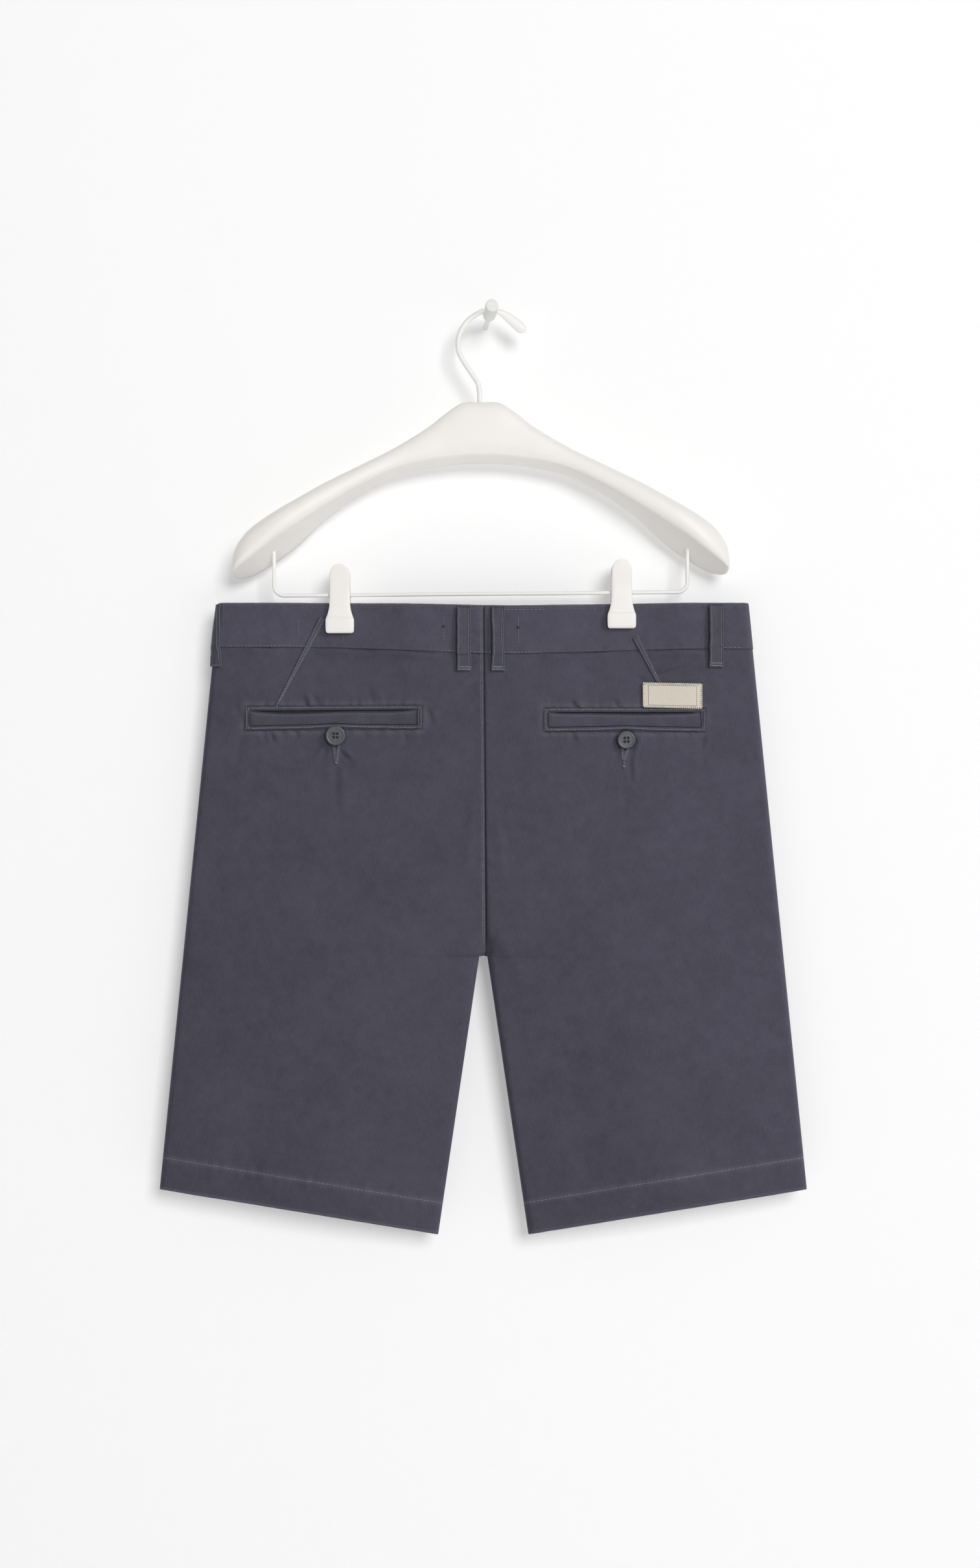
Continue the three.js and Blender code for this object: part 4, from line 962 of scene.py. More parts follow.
# ---- Waistband ---------------------------------------------------------------------------------------------
def waistband_half(half):
    """Half the waistband: a wall from centre back, round the side fold, to centre front."""
    sign = SIGN[half]
    share = panel_shares(96)
    stations = [("back", s) for s in share[::-1]] + [("front", s) for s in share[1:]]
    level = np.concatenate([np.linspace(0, 0.13, 9)[:-1], np.linspace(0.13, 1, 24)])
    outer = np.empty((len(level), len(stations), 3))
    uv = np.empty((len(level), len(stations), 2))
    wear, shade = np.empty((2, len(level), len(stations)))
    for side in FACING:
        pick = [k for k, (on, _) in enumerate(stations) if on == side]
        s = np.array([stations[k][1] for k in pick])[None, :]
        foot = band_bottom(sign * lerp(outer_edge(0), SEAM / 2, s))
        drop = level[:, None] * foot
        x = sign * lerp(outer_edge(drop), SEAM / 2, s)
        grown = BAND_PROUD * np.exp(-s * 60)
        out = GAP / 2 * (s > 0) + half_depth(side, x, drop)
        out = out + (BAND_PROUD + band_relief(side, x, drop)) * roll(s * 60)
        outer[:, pick] = place(side, x + sign * grown, drop, out)
        uv[:, pick] = np.stack([np.broadcast_to(FACING[side] * x, drop.shape), -drop], axis=-1)
        top = np.exp(-((drop / 1.0) ** 2))
        seam = np.exp(-(((x + 1.2) / 0.8) ** 2))
        wear[:, pick] = np.clip(0.5 * top + 0.14 * seam + 0.1 * np.exp(-(((drop - foot) / 1.0) ** 2)), 0, 1)
        # painted shade: a dark line just right of the centre seam
        shade[:, pick] = 0.75 * np.exp(-(((x - 0.4) / 0.6) ** 2)) + 0 * drop
    normal = grid_normals(outer)
    probe = normal[len(level) // 2, len(stations) // 4]
    normal *= np.sign(probe[1] * -FACING["back"])
    inner = outer + normal * BAND_CLOTH
    line = SHORTS_X + SEAM_LEAN * BAND_CENTRE / FORK_DROP
    inner[..., 0] = line + sign * np.maximum(sign * (inner[..., 0] - line), SEAM / 2)
    layers = {"wear": wear, "shade": shade}
    mesh = shell(f"waistband_{half}_cloth", outer, inner, (0.9, 0, 0.5, 0), uv, layers)
    CUTS[mesh.name] = cut_of(outer)
    add_piece(mesh.name, mesh, "twill", NAVY_BAND, f"waistband_{half}")


# ---- Strips and stitches that lie on the cloth -------------------------------------------------------------
def resample(path, pitch, closed=False):
    """Places at even steps along a line of places, with the unit directions there."""
    path = np.asarray(path, float)
    if closed:
        path = np.concatenate([path, path[:1]])
    reach = np.concatenate([[0], np.cumsum(np.linalg.norm(np.diff(path, axis=0), axis=1))])
    count = max(int(round(reach[-1] / pitch)), 2)
    at = np.linspace(0, reach[-1], count, endpoint=not closed)

    def along(s):
        return np.stack([np.interp(np.clip(s, 0, reach[-1]), reach, path[:, k]) for k in range(2)], axis=1)

    way = along(at + 0.05) - along(at - 0.05)
    return along(at), way / np.linalg.norm(way, axis=1, keepdims=True), at


def strip_section(width, height, sides=14, square=0.45):
    """Closed profile of a flat strip: (across, lift), a superellipse whose underside is at lift 0."""
    angle = 2 * np.pi * (np.arange(sides) + 0.5) / sides
    across = np.sign(np.cos(angle)) * np.abs(np.cos(angle)) ** square * width / 2
    lift = (np.sign(np.sin(angle)) * np.abs(np.sin(angle)) ** square + 1) * height / 2
    return across, lift


def cloth_strip(name, side, path, width, height, lift, material, stands_for=(), closed=False, pitch=1.6):
    """A strip swept along a line of places on the cloth, its low edges darkened by painted shade where they
    meet the cloth; its width may be a function of the share along it."""
    point, way, at = resample(path, pitch, closed)
    across, rise = strip_section(1.0, height)
    wide = np.full(len(point), width) if np.isscalar(width) else width(at / max(at[-1], 1e-9))
    x = point[:, :1] - way[:, 1:] * across * wide[:, None]
    drop = point[:, 1:] + way[:, :1] * across * wide[:, None]
    rings, _ = on_cloth(side, x, drop, lift + rise[None, :])
    uv = np.stack([x * FACING[side], -drop], axis=-1)
    # painted shade on the strip's low edges, where it meets the cloth
    under = np.broadcast_to(1 - smoothstep(rise / height, 0.3, 0.9), x.shape).ravel()
    if not closed:
        under = np.append(under, [1, 1])
    mesh = tube(name, rings, uv, closed, {"shade": 0.8 * under})
    return add_piece(name, mesh, "trim_twill", material, *stands_for)


BEAD = np.array([0.3, 0.5, 0.5, 0.3])  # radius of a stitch along its length, in thread widths


def stitch_rings(side, path, pitch=2.7, thread=0.42, fill=0.78, lift=0.0, closed=False):
    """Stitches along a line of places: each is an arched bead that dips into the cloth at both ends."""
    point, way, _ = resample(path, pitch, closed)
    t = np.linspace(-0.5, 0.5, 4)
    x = point[:, :1] + way[:, :1] * t * pitch * fill
    drop = point[:, 1:] + way[:, 1:] * t * pitch * fill
    arch = thread * (1 - (2 * t) ** 2) * 0.9 - 0.05
    centre, normal = on_cloth(side, x, drop, arch[None, :] + lift)
    return bead_rings(centre, normal, thread * BEAD)


def bead_rings(centre, normal, radius):
    """Rings of six points round each centre line (stitch, place, xyz)."""
    along = np.gradient(centre, axis=1)
    along /= np.linalg.norm(along, axis=-1, keepdims=True)
    beside = np.cross(along, normal)
    beside /= np.linalg.norm(beside, axis=-1, keepdims=True)
    above = np.cross(beside, along)
    angle = 2 * np.pi * np.arange(6) / 6
    around = np.cos(angle)[:, None] * beside[..., None, :] + np.sin(angle)[:, None] * above[..., None, :]
    return centre[..., None, :] + around * radius[:, None, None]


def sew(name, slot, material, groups):
    """One piece from many groups of stitches."""
    return add_piece(name, join_tubes(name, np.concatenate(groups)), slot, material)


# ---- Belt loops --------------------------------------------------------------------------------------------
def loop_rise(u, most):
    """How far a loop stands off the waistband: nothing at its ends, most at its middle."""
    return GAP + 0.1 + most * np.sin(np.pi * np.clip(u, 0, 1)) ** 0.7


def loop_shape(u, v, seed, most=1.7, drawn=0.03):
    """Half width and lift of a loop at shares u down it and v across it (-1 to 1): folded edges stand proud
    of the middle, the foot is flattened by its bar tack and flares slightly."""
    rng = np.random.default_rng(seed)
    flare = 0.05 * smoothstep(u, 0.86, 1.0) + 0.03 * (1 - smoothstep(u, 0, 0.12))
    half = LOOP_WIDTH / 2 * (1 + flare - drawn * np.sin(np.pi * u))
    wave = 0.12 * np.sin(u * rng.uniform(9, 14) + rng.uniform(0, 6)) + 0.1 * np.sin(u * 31 + v * 2)
    edges = 0.3 * np.abs(v) ** 3
    return half, loop_rise(u, most) + wave * np.sin(np.pi * u) * min(most, 1) + edges


LOOP_STEPS = np.linspace(0.03, 0.9, 25)
LOOP_TOP = 0.6
LOOP_CLOTH = 1.1
FOLD_LOOP_TOP, FOLD_LOOP_FOOT = 1.2, 5.6  # how far round the fold the middle of the side loop lies


def loop_drop(u, foot):
    """Drop at a share u down a loop."""
    return LOOP_TOP + u * (foot - LOOP_TOP)


def flat_loop(name, side, x, foot, seed):
    """A belt loop over the waistband, as a wall on the cloth. One of the two at the back is drawn narrow."""
    drawn = 0.2 if name == "belt_loop_back_right" else 0.03
    u = np.concatenate([np.linspace(0, 0.9, 44), np.linspace(0.9, 1, 9)[1:]])[:, None]
    v = np.linspace(-1, 1, 15)[None, :]
    half, lift = loop_shape(u, v, seed, drawn=drawn)
    places = (x + v * half, loop_drop(u, foot) + 0 * v)
    outer, _ = on_cloth(side, *places, lift + LOOP_CLOTH)
    inner, _ = on_cloth(side, *places, lift)
    uv = np.stack([FACING[side] * places[0], -places[1]], axis=-1)
    wear = 0.4 * np.abs(v) ** 8 + 0.6 * smoothstep(u, 0.97, 1.0)
    # painted shade down the loop's left edge
    layers = {"wear": wear, "shade": 0.6 * (v < -0.95) + 0 * u}
    mesh = shell(f"{name}_cloth", outer, inner, (0.6, 0.9, 0.9, 0.9), uv, layers)
    CUTS[mesh.name] = cut_of(outer)
    add_piece(mesh.name, mesh, "trim_twill", NAVY_TRIM, name)
    lines = []
    for edge in (-0.76, 0.76):
        for start, end in zip(LOOP_STEPS[:-1], LOOP_STEPS[1:]):
            share = np.array([start, end])
            half_w, rise = loop_shape(share, np.full(2, edge), seed, drawn=drawn)
            path = np.stack([x + edge * half_w, loop_drop(share, foot)], axis=1)
            lift = float(rise.mean()) + LOOP_CLOTH
            lines.append(stitch_rings(side, path, pitch=1.9, thread=0.38, fill=0.7, lift=lift))
    _, rise = loop_shape(np.array(0.955), np.array(0.0), seed)
    tack_x = np.linspace(-0.92, 0.92, 11) * LOOP_WIDTH / 2
    for up in (1.1, 3.1):
        for k in range(len(tack_x) - 1):
            path = [(x + tack_x[k], foot - up - 0.25), (x + tack_x[k + 1], foot - up + 0.25)]
            lines.append(stitch_rings(side, path, pitch=1.2, thread=0.5, lift=float(rise) + LOOP_CLOTH))
    return lines


def fold_section(sign, drop):
    """The side fold at one level: points from the back round to the front, their normals and the arc length,
    0 at the tip of the fold and positive on the back."""
    q = np.linspace(-1.9, 1.9, 241)
    x = outer_edge(drop) - FOLD_RADIUS * q**2
    step = 1 - smoothstep(drop - band_bottom(sign * outer_edge(drop)), 0.3, 4)
    back = GAP / 2 + half_depth("back", sign * x, np.full_like(x, drop))
    front = GAP / 2 + half_depth("front", sign * x, np.full_like(x, drop))
    proud = BAND_PROUD * step
    depth = np.where(q > 0, back + proud * roll(np.abs(q)), -(front + proud * roll(np.abs(q))))
    line = np.stack([x + proud, depth], axis=1)
    padded = [np.pad(line[:, k], 6, mode="edge") for k in range(2)]
    smooth = np.stack([np.convolve(one, np.ones(13) / 13, "valid") for one in padded], 1)
    way = np.gradient(smooth, axis=0)
    normal = np.stack([way[:, 1], -way[:, 0]], axis=1)
    normal /= np.linalg.norm(normal, axis=1, keepdims=True)
    reach = np.concatenate([[0], np.cumsum(np.linalg.norm(np.diff(line, axis=0), axis=1))])
    return line, normal, reach - reach[len(q) // 2]


def fold_points(sign, drop, arc, lift):
    """Points lift off the side fold, row by row; arc and lift are arrays (row, column)."""
    points = np.empty((*arc.shape, 3))
    for k, level in enumerate(drop):
        line, normal, reach = fold_section(sign, level)
        at = [np.interp(arc[k], reach, line[:, c]) for c in range(2)]
        out = [np.interp(arc[k], reach, normal[:, c]) for c in range(2)]
        points[k, :, 0] = SHORTS_X + sign * (at[0] + out[0] * lift[k])
        points[k, :, 1] = HANG_Y - (at[1] + out[1] * lift[k])
        points[k, :, 2] = WAIST_Z - level - sag(sign * outer_edge(level), level)
    return points


def fold_loop(name, half, seed):
    """The belt loop that wraps the side fold: a wall that follows the fold's own section."""
    sign = SIGN[half]
    foot = 50.0
    u = np.concatenate([np.linspace(0, 0.9, 36), np.linspace(0.9, 1, 8)[1:]])[:, None]
    v = np.linspace(-1, 1, 17)[None, :]
    half_w, lift = loop_shape(u, v, seed, 0.4)
    arc = lerp(FOLD_LOOP_TOP, FOLD_LOOP_FOOT, u) + v * half_w
    drop = loop_drop(u[:, 0], foot)
    outer = fold_points(sign, drop, arc, lift + LOOP_CLOTH)
    inner = fold_points(sign, drop, arc, lift)
    uv = np.stack([arc + 0 * u, -drop[:, None] + 0 * v], axis=-1)
    layers = {"wear": 0.5 * np.abs(v) ** 8 + 0.6 * smoothstep(u, 0.97, 1.0)}
    mesh = shell(f"{name}_cloth", outer, inner, (0.6, 0.9, 0.9, 0.9), uv, layers)
    CUTS[mesh.name] = cut_of(outer)
    add_piece(mesh.name, mesh, "trim_twill", NAVY_TRIM, name)
    lines = []
    for edge in (-0.68, 0.68):
        for low, high in zip(LOOP_STEPS[:-1], LOOP_STEPS[1:]):
            t = np.linspace(low, low + (high - low) * 0.78, 4)
            half_w, rise = loop_shape(t, np.full(4, edge), seed, 0.4)
            arch = LOOP_CLOTH + 0.42 * np.array([-0.1, 0.75, 0.75, -0.1])
            at = (lerp(FOLD_LOOP_TOP, FOLD_LOOP_FOOT, t) + edge * half_w)[:, None]
            centre = fold_points(sign, loop_drop(t, foot), at, (rise + arch)[:, None])[:, 0]
            lower = fold_points(sign, loop_drop(t, foot), at, (rise + arch - 1)[:, None])[:, 0]
            lines.append(bead_rings(centre[None], (centre - lower)[None], 0.42 * BEAD))
    return lines


# ---- Buttons -----------------------------------------------------------------------------------------------
HOLE_OFF = 1.4  # of each hole from the middle, both ways
FACE_DEPTH = 0.25  # of the face below the rim


def button_piece(name, side):
    """A four-hole button: a turned profile of shallow dish and rounded rim, with the holes sunk into it by
    drawing the face down inside four small circles."""
    low, high = corners(name)
    centre = (low + high) / 2
    radius, thick = (high[0] - low[0]) / 2, high[1] - low[1]
    rim = 0.12 * radius
    profile = np.array(
        [
            (radius * 0.9, 0.0),
            (radius - 0.2, 0.25),
            (radius, rim * 0.9),
            (radius - 0.15, thick - rim * 0.75),
            (radius - 0.6, thick - 0.22),
            (radius - 0.8, thick - 0.1),
            (radius - 1.1, thick - 0.04),
            (radius - 1.35, thick - 0.08),
            (radius - 1.6, thick - 0.18),
            (radius - 2.0, thick - FACE_DEPTH),
        ]
    )
    inner = np.linspace(radius - 2.6, 0.2, 34)
    profile = np.concatenate([profile, np.stack([inner, np.full(34, thick - FACE_DEPTH)], axis=1)])
    angle = 2 * np.pi * np.arange(72) / 72
    r, h = profile[:, :1], profile[:, 1:]
    px, pz = r * np.cos(angle), r * np.sin(angle)
    rise = np.broadcast_to(h, px.shape).copy()
    hole_places = [(a * HOLE_OFF, b * HOLE_OFF) for a in (-1, 1) for b in (-1, 1)]
    for hole_x, hole_z in hole_places:
        off = np.hypot(px - hole_x, pz - hole_z)
        rise -= 1.9 * (1 - smoothstep(off, 0.8, 1.15)) * (r < radius - 2.8)
    seat = low[1] if side == "front" else high[1]
    rings = np.stack([centre[0] + px, seat + FACING[side] * rise, centre[2] + pz], axis=-1)
    mesh = tube(f"{name}_resin", rings)
    add_piece(mesh.name, mesh, "button", BUTTON_RESIN, name)
    face = seat + FACING[side] * (thick - FACE_DEPTH)
    threads, holes = [], []
    t = np.linspace(-1, 1, 4)
    out = np.broadcast_to([0.0, FACING[side], 0.0], (1, 4, 3))
    for dx in (-HOLE_OFF, HOLE_OFF):
        for shift in (-0.22, 0.22):
            away = face + FACING[side] * (0.1 * (1 - t**2) - 0.22)
            line = np.stack([centre[0] + dx + 0 * t + shift, away, centre[2] + HOLE_OFF * t], 1)
            threads.append(bead_rings(line[None], out, np.full(4, 0.15)))
    beside = np.broadcast_to([1.0, 0.0, 0.0], (1, 4, 3))
    # near-black plugs down each hole: painted shade inside the holes
    for hole_x, hole_z in hole_places:
        away = face + FACING[side] * (0.35 * t - 0.66)
        line = np.stack([centre[0] + hole_x + 0 * t, away, centre[2] + hole_z + 0 * t], 1)
        holes.append(bead_rings(line[None], beside, np.full(4, 0.98)))
    return threads, holes


# ---- Hanger, bar, clips and peg ----------------------------------------------------------------------------
# From the middle out: top edge, crease along the front, back edge below it, and depth either side of HANG_Y.
ARM = np.array(
    [
        # x, top, crease, foot, front, back
        (0, -65.7, -107.7, -115.1, 7, 7),
        (15, -66.3, -108.1, -115.4, 7, 7),
        (28, -74.4, -109.5, -116.7, 7, 7),
        (42, -85.4, -111.3, -118.5, 7.4, 7.2),
        (70, -102.5, -118.7, -125.3, 8.6, 8),
        (98, -116.5, -132.1, -139.5, 11.5, 10),
        (126, -130.3, -148.7, -159.5, 15.5, 12.5),
        (147, -142.1, -161.5, -179.1, 18.5, 14.5),
        (164, -151.9, -172.9, -191.9, 20, 15.5),
        (182, -163.9, -186.9, -202.9, 19, 14.5),
        (192.4, -174.5, -194.9, -205.9, 15.5, 11.5),
        (198, -184.9, -200.3, -204.9, 9.5, 7),
        (199.6, -193.9, -199.9, -201.9, 4, 3),
    ]
)
ARM_SQUARE = 0.55  # 1 gives the arm's arch a circle's corners, less gives it squarer ones


def askew(x, z):
    """The height of a point of the hanger once it hangs askew."""
    return z + (x - HANGER_X) * HANGER_SLOPE


def hanger_body():
    """The contoured body: sections from the middle out, each a rounded arch over a sloping underside."""
    tip = ARM[-1, 0]
    closing = 180 + (tip - 180) * np.sin(np.linspace(0, np.pi / 2, 20))
    fine = np.concatenate([np.linspace(0, 180, 76)[:-1], closing])
    columns = [curve_through(ARM[:, 0], ARM[:, k], fine) for k in range(1, 6)]
    quarter = np.linspace(0, np.pi / 2, 17)
    rings = []
    for sign in (-1, 1):
        order = slice(None, None, -1) if sign < 0 else slice(1, None)
        for x, top, crease, foot, front, back in list(zip(fine, *columns))[order]:
            reach, rise = np.cos(quarter) ** ARM_SQUARE, np.sin(quarter) ** ARM_SQUARE
            up = np.stack([-front * reach, lerp(crease, top, rise)], axis=1)
            down = np.stack([back * reach, lerp(foot, top, rise)], axis=1)[::-1][1:]
            under = np.stack([np.linspace(back, -front, 9), np.linspace(foot, crease, 9)], axis=1)[1:-1]
            ring = soften(np.concatenate([up, down, under]))
            at = HANGER_X + sign * x
            ring = [np.full(len(ring), at), HANG_Y + ring[:, 0], askew(at, ring[:, 1])]
            rings.append(np.stack(ring, axis=1))
    mesh = tube("hanger_shell", np.array(rings))
    return add_piece(mesh.name, mesh, "hanger_white", HANGER_WHITE, "hanger_body")


def soften(ring):
    """Takes the sharpness off a closed profile's corners: each point moves a tenth towards its neighbours."""
    return 0.8 * ring + 0.1 * np.roll(ring, 1, axis=0) + 0.1 * np.roll(ring, -1, axis=0)


def plane_tube(points, width, thick, sides=20):
    """Rings round a line of (x, z) points in the plane of the hanger, width across it and thick along y."""
    way = np.gradient(points, axis=0)
    way /= np.linalg.norm(way, axis=1, keepdims=True)
    beside = np.stack([-way[:, 1], way[:, 0]], axis=1)
    angle = 2 * np.pi * np.arange(sides) / sides
    x = points[:, :1] + beside[:, :1] * width[:, None] * np.cos(angle)
    z = points[:, 1:] + beside[:, 1:] * width[:, None] * np.cos(angle)
    return np.stack([x, HANG_Y + thick[:, None] * np.sin(angle), z], axis=-1)


HOOK_RADIUS = 2.1
HOOK_TONGUE = 4.4
HOOK_ROUTE = np.array(
    [(-0.9, -77), (-0.9, -66), (-1.1, -57), (-2.8, -49.5), (-11, -37), (-17.6, -25), (-17.4, -12),
     (-11.2, -0.8), (-1, 6.4), (7.5, 8.3), (16, 6.6), (24, 1.2), (35.8, -9)]
)


def hanger_hook():
    """The wire hook: round wire that widens into a flat rounded tongue at its tip."""
    keys = np.concatenate([[0], np.cumsum(np.sqrt(np.linalg.norm(np.diff(HOOK_ROUTE, axis=0), axis=1)))])
    t = np.linspace(0, 1, 150)
    points = np.stack([curve_through(keys, HOOK_ROUTE[:, k], t * keys[-1]) for k in range(2)], axis=1)
    points[:, 0] += HANGER_X
    wide = lerp(HOOK_RADIUS, HOOK_TONGUE, smoothstep(t, 0.78, 0.95))
    tip = np.sqrt(np.clip(1 - ((t - 0.965) / 0.0355).clip(0, 1) ** 2, 0.004, 1))
    mesh = tube("hook_wire", plane_tube(points, wide * tip, np.minimum(HOOK_RADIUS, wide * tip) * 0.95))
    return add_piece(mesh.name, mesh, "wire_white", WIRE_WHITE, "hanger_hook")


def trouser_bar():
    """The wire bar: down from one arm, along under both, up into the other."""
    reach, top = BAR_HALF, corners("trouser_bar")[1][2] - BAR_HALF * HANGER_SLOPE
    angle = np.linspace(0, np.pi / 2, 14)
    bend_x = BAR_CORNER * np.cos(angle) + reach - BAR_CORNER
    bend_z = BAR_Z + BAR_CORNER * (1 - np.sin(angle))
    inner = np.linspace(reach - BAR_CORNER, 0, 20)[1:]
    half_x = np.concatenate([[reach, reach], bend_x, inner])
    half_z = np.concatenate([[top, BAR_Z + 20], bend_z, np.full(19, BAR_Z)])
    x = HANGER_X + np.concatenate([-half_x, half_x[-2::-1]])
    points = np.stack([x, askew(x, np.concatenate([half_z, half_z[-2::-1]]))], axis=1)
    size = np.full(len(points), BAR_RADIUS)
    mesh = tube("bar_wire", plane_tube(points, size, size, 16))
    return add_piece(mesh.name, mesh, "wire_white", WIRE_WHITE, "trouser_bar")


CLIP_FACE = np.array(
    [
        # z, half width, inner, outer
        (-25, 9.6, 3.2, 4.9),
        (-24.2, 10.9, 3.2, 6.0),
        (-22, 11.4, 3.2, 6.7),
        (-15.5, 11.5, 3.2, 7.0),
        (-13.6, 11.3, 3.2, 6.9),
        (-11.5, 10.5, 3.2, 6.3),
        (-8, 9.4, 3.2, 6.3),
        (-3.5, 8.5, 3.2, 6.3),
        (-0.6, 8.4, 3.2, 6.4),
        (1.6, 8.4, 2.1, 6.4),
        (8.6, 8.3, 2.1, 6.6),
        (15, 8.2, 3.6, 7.3),
        (21, 8.1, 5.4, 8.2),
        (25, 7.4, 6.5, 8.5),
        (27.6, 6.0, 7.0, 8.7),
        (29.4, 3.9, 7.2, 8.8),
        (30.2, 1.4, 7.4, 8.7),
    ]
)


def clip_shell(name, facing):
    """One shell of a clip: rounded oblong sections stacked from the jaw's lip up to the lever's round top."""
    low, high = corners(name)
    centre, level = (low[0] + high[0]) / 2, low[2] + CLIP_BITE
    rounding = 27 + 3.2 * np.sin(np.linspace(0, np.pi / 2, 12))
    z = np.concatenate([np.linspace(-25, -23.5, 6)[:-1], np.linspace(-23.5, 27, 84)[:-1], rounding])
    half, inner, outer = (curve_through(CLIP_FACE[:, 0], CLIP_FACE[:, k], z) for k in (1, 2, 3))
    angle = 2 * np.pi * (np.arange(48) + 0.5) / 48
    across = np.sign(np.cos(angle)) * np.abs(np.cos(angle)) ** 0.32
    depth = np.sign(np.sin(angle)) * np.abs(np.sin(angle)) ** 0.5
    x = centre + half[:, None] * across
    y = (inner + outer)[:, None] / 2 + (outer - inner)[:, None] / 2 * depth
    rings = np.stack([x, HANG_Y + facing * y, np.broadcast_to(level + z[:, None], x.shape)], axis=-1)
    mesh = tube(f"{name}_plastic", rings)
    return add_piece(mesh.name, mesh, "hanger_white", HANGER_WHITE, name)


PEG_LEAN = math.radians(6)
PEG_TURN = math.radians(5.3)


def wall_peg():
    """The peg: a turned profile along an axis that leans up and to the right, cut off at the wall."""
    profile = np.array(
        [(2.0, -0.01), (2.0, 16), (2.0, 24), (2.9, 24.1), (2.9, 32.5), (4.8, 32.52), (5.1, 32.8), (5.2, 33.2),
         (5.2, 44), (5.2, 57.2), (5.05, 57.9), (4.7, 58.3), (4.2, 58.48), (2.6, 58.52), (1.2, 58.52)]
    )
    fine = np.linspace(0, len(profile) - 1, 61)
    r = np.interp(fine, np.arange(len(profile)), profile[:, 0])
    s = np.interp(fine, np.arange(len(profile)), profile[:, 1])
    level = math.cos(PEG_LEAN)
    axis = np.array([math.sin(PEG_TURN) * level, -math.cos(PEG_TURN) * level, math.sin(PEG_LEAN)])
    side = np.cross(axis, [0, 0, 1.0])
    side /= np.linalg.norm(side)
    up = np.cross(side, axis)
    angle = 2 * np.pi * np.arange(40) / 40
    around = np.cos(angle)[:, None] * side + np.sin(angle)[:, None] * up
    rings = axis * s[:, None, None] + around * r[:, None, None]
    rings[..., 1] = np.minimum(rings[..., 1], 0)
    mesh = tube("peg_turning", rings)
    return add_piece(mesh.name, mesh, "wire_white", PEG_WHITE, "wall_peg")


# ---- Back pockets, darts, label ----------------------------------------------------------------------------
def rounded(path, reach):
    """A closed line of places, its corners rounded: each place is the mean of those within reach."""
    count = len(path)
    share = np.arange(-reach, reach + 1)
    return path[(np.arange(count)[:, None] + share) % count].mean(axis=1)


def in_pocket(pocket, along, below):
    """The place that lies along and below the middle of a pocket, in its own slanted frame."""
    return pocket["x"] + along, pocket["drop"] + below + pocket["slant"] * along


def pocket_frame(half):
    """The doubled edge round a back pocket, with its topstitching."""
    pocket = POCKETS[half]
    inset = FRAME_WIDTH / 2
    w, h = pocket["width"] / 2 - inset, pocket["height"] / 2 - inset
    across = np.linspace(-1, 1, 61)
    top = np.stack(in_pocket(pocket, across * w, -h + 0 * across), axis=1)
    foot = np.stack(in_pocket(pocket, -across * w, h - pocket_foot(half, -across)), axis=1)
    path, _, _ = resample(np.concatenate([top, foot]), 0.5, closed=True)
    name = f"pocket_frame_{half}"
    ring = rounded(path, 4)
    cloth_strip(f"{name}_cloth", "back", ring, FRAME_WIDTH, 0.8, 0.12, NAVY_TRIM, [name], closed=True)
    lift = 0.9
    lines = []
    for edge, inward in ((top, -0.3), (foot, 0.3)):
        row = edge[2:-2] + (0, inward)
        lines.append(stitch_rings("back", row, lift=lift, pitch=2.1, thread=0.55, fill=0.72))
    for end in (-1, 1):
        for shift in (-0.75, 0.75):
            rows = np.array([-h, h])
            side_line = np.stack(in_pocket(pocket, np.full(2, end * w + shift), rows), axis=1)
            lines.append(stitch_rings("back", side_line, lift=lift, pitch=1.5, thread=0.46))
    return lines


def pocket_welt(half):
    """The welt in the frame: a softly crowned wall, its top edge uneven, leaving a slit above it; the panel
    in the slit and the welt's rim carry painted shade.
    """
    pocket = POCKETS[half]
    w = pocket["width"] / 2 - FRAME_WIDTH - 0.25
    half_h = pocket["height"] / 2
    v = np.linspace(-1, 1, 90)[None, :]
    u = np.linspace(0, 1, 14)[:, None]
    widest, least = (-0.42, 0.68) if half == "left" else (0.15, 0.7)
    opened = SLIT[half] * (least + (1 - least) * np.exp(-(((v - widest) / 0.4) ** 2)))
    top = -half_h + FRAME_WIDTH + opened * (1 - v**8)
    foot = half_h - FRAME_WIDTH - pocket_foot(half, v) - 0.15
    x, drop = in_pocket(pocket, v * w + 0 * u, lerp(top, foot, u))
    rng = np.random.default_rng(70 if half == "left" else 71)
    wave = sum(0.13 * np.sin(v * k * 3.1 + rng.uniform(0, 6)) for k in range(2, 9))
    lift = 0.9 + 0.6 * np.sin(np.pi * np.clip(u, 0, 1) ** 0.8) + wave * np.sin(np.pi * u)
    outer, _ = on_cloth("back", x, drop, lift + 0.9)
    inner, _ = on_cloth("back", x, drop, lift * 0 + 0.55)
    uv = np.stack([-x, -drop], axis=-1)
    # painted shade round the welt's edges
    rim = np.maximum(np.abs(v) ** 60, np.maximum(u > 0.96, u < 0.04))
    layers = {"wear": 0.3 * np.exp(-(((u - 0.12) / 0.08) ** 2)) + 0 * v, "shade": 0.7 * rim}
    mesh = shell(f"pocket_welt_{half}_cloth", outer, inner, (0.9, 0.2, 0.2, 0.2), uv, layers)
    add_piece(mesh.name, mesh, "twill", NAVY_TWILL, f"pocket_welt_{half}")


def back_dart(half):
    """A dart: a felled ridge from the waistband to the pocket, with two rows of topstitching."""
    x1, drop1, x2, drop2 = DARTS[half]
    name = f"back_dart_{half}"
    path = np.array([(x1, drop1), (x2, drop2)])

    def width(t):
        return lerp(5.6, 2.0, t)

    cloth_strip(f"{name}_cloth", "back", path, width, 0.7, 0.1, NAVY_TRIM, [name])
    way = (path[1] - path[0]) / np.linalg.norm(path[1] - path[0])
    across = np.array([-way[1], way[0]])
    lines = []
    for top, foot in ((-2.0, -0.55), (-0.9, -0.1), (1.3, 0.4)):
        line = np.array([path[0] + across * top, path[1] + across * foot])
        lines.append(stitch_rings("back", line, lift=0.8, pitch=2.1))
    return lines


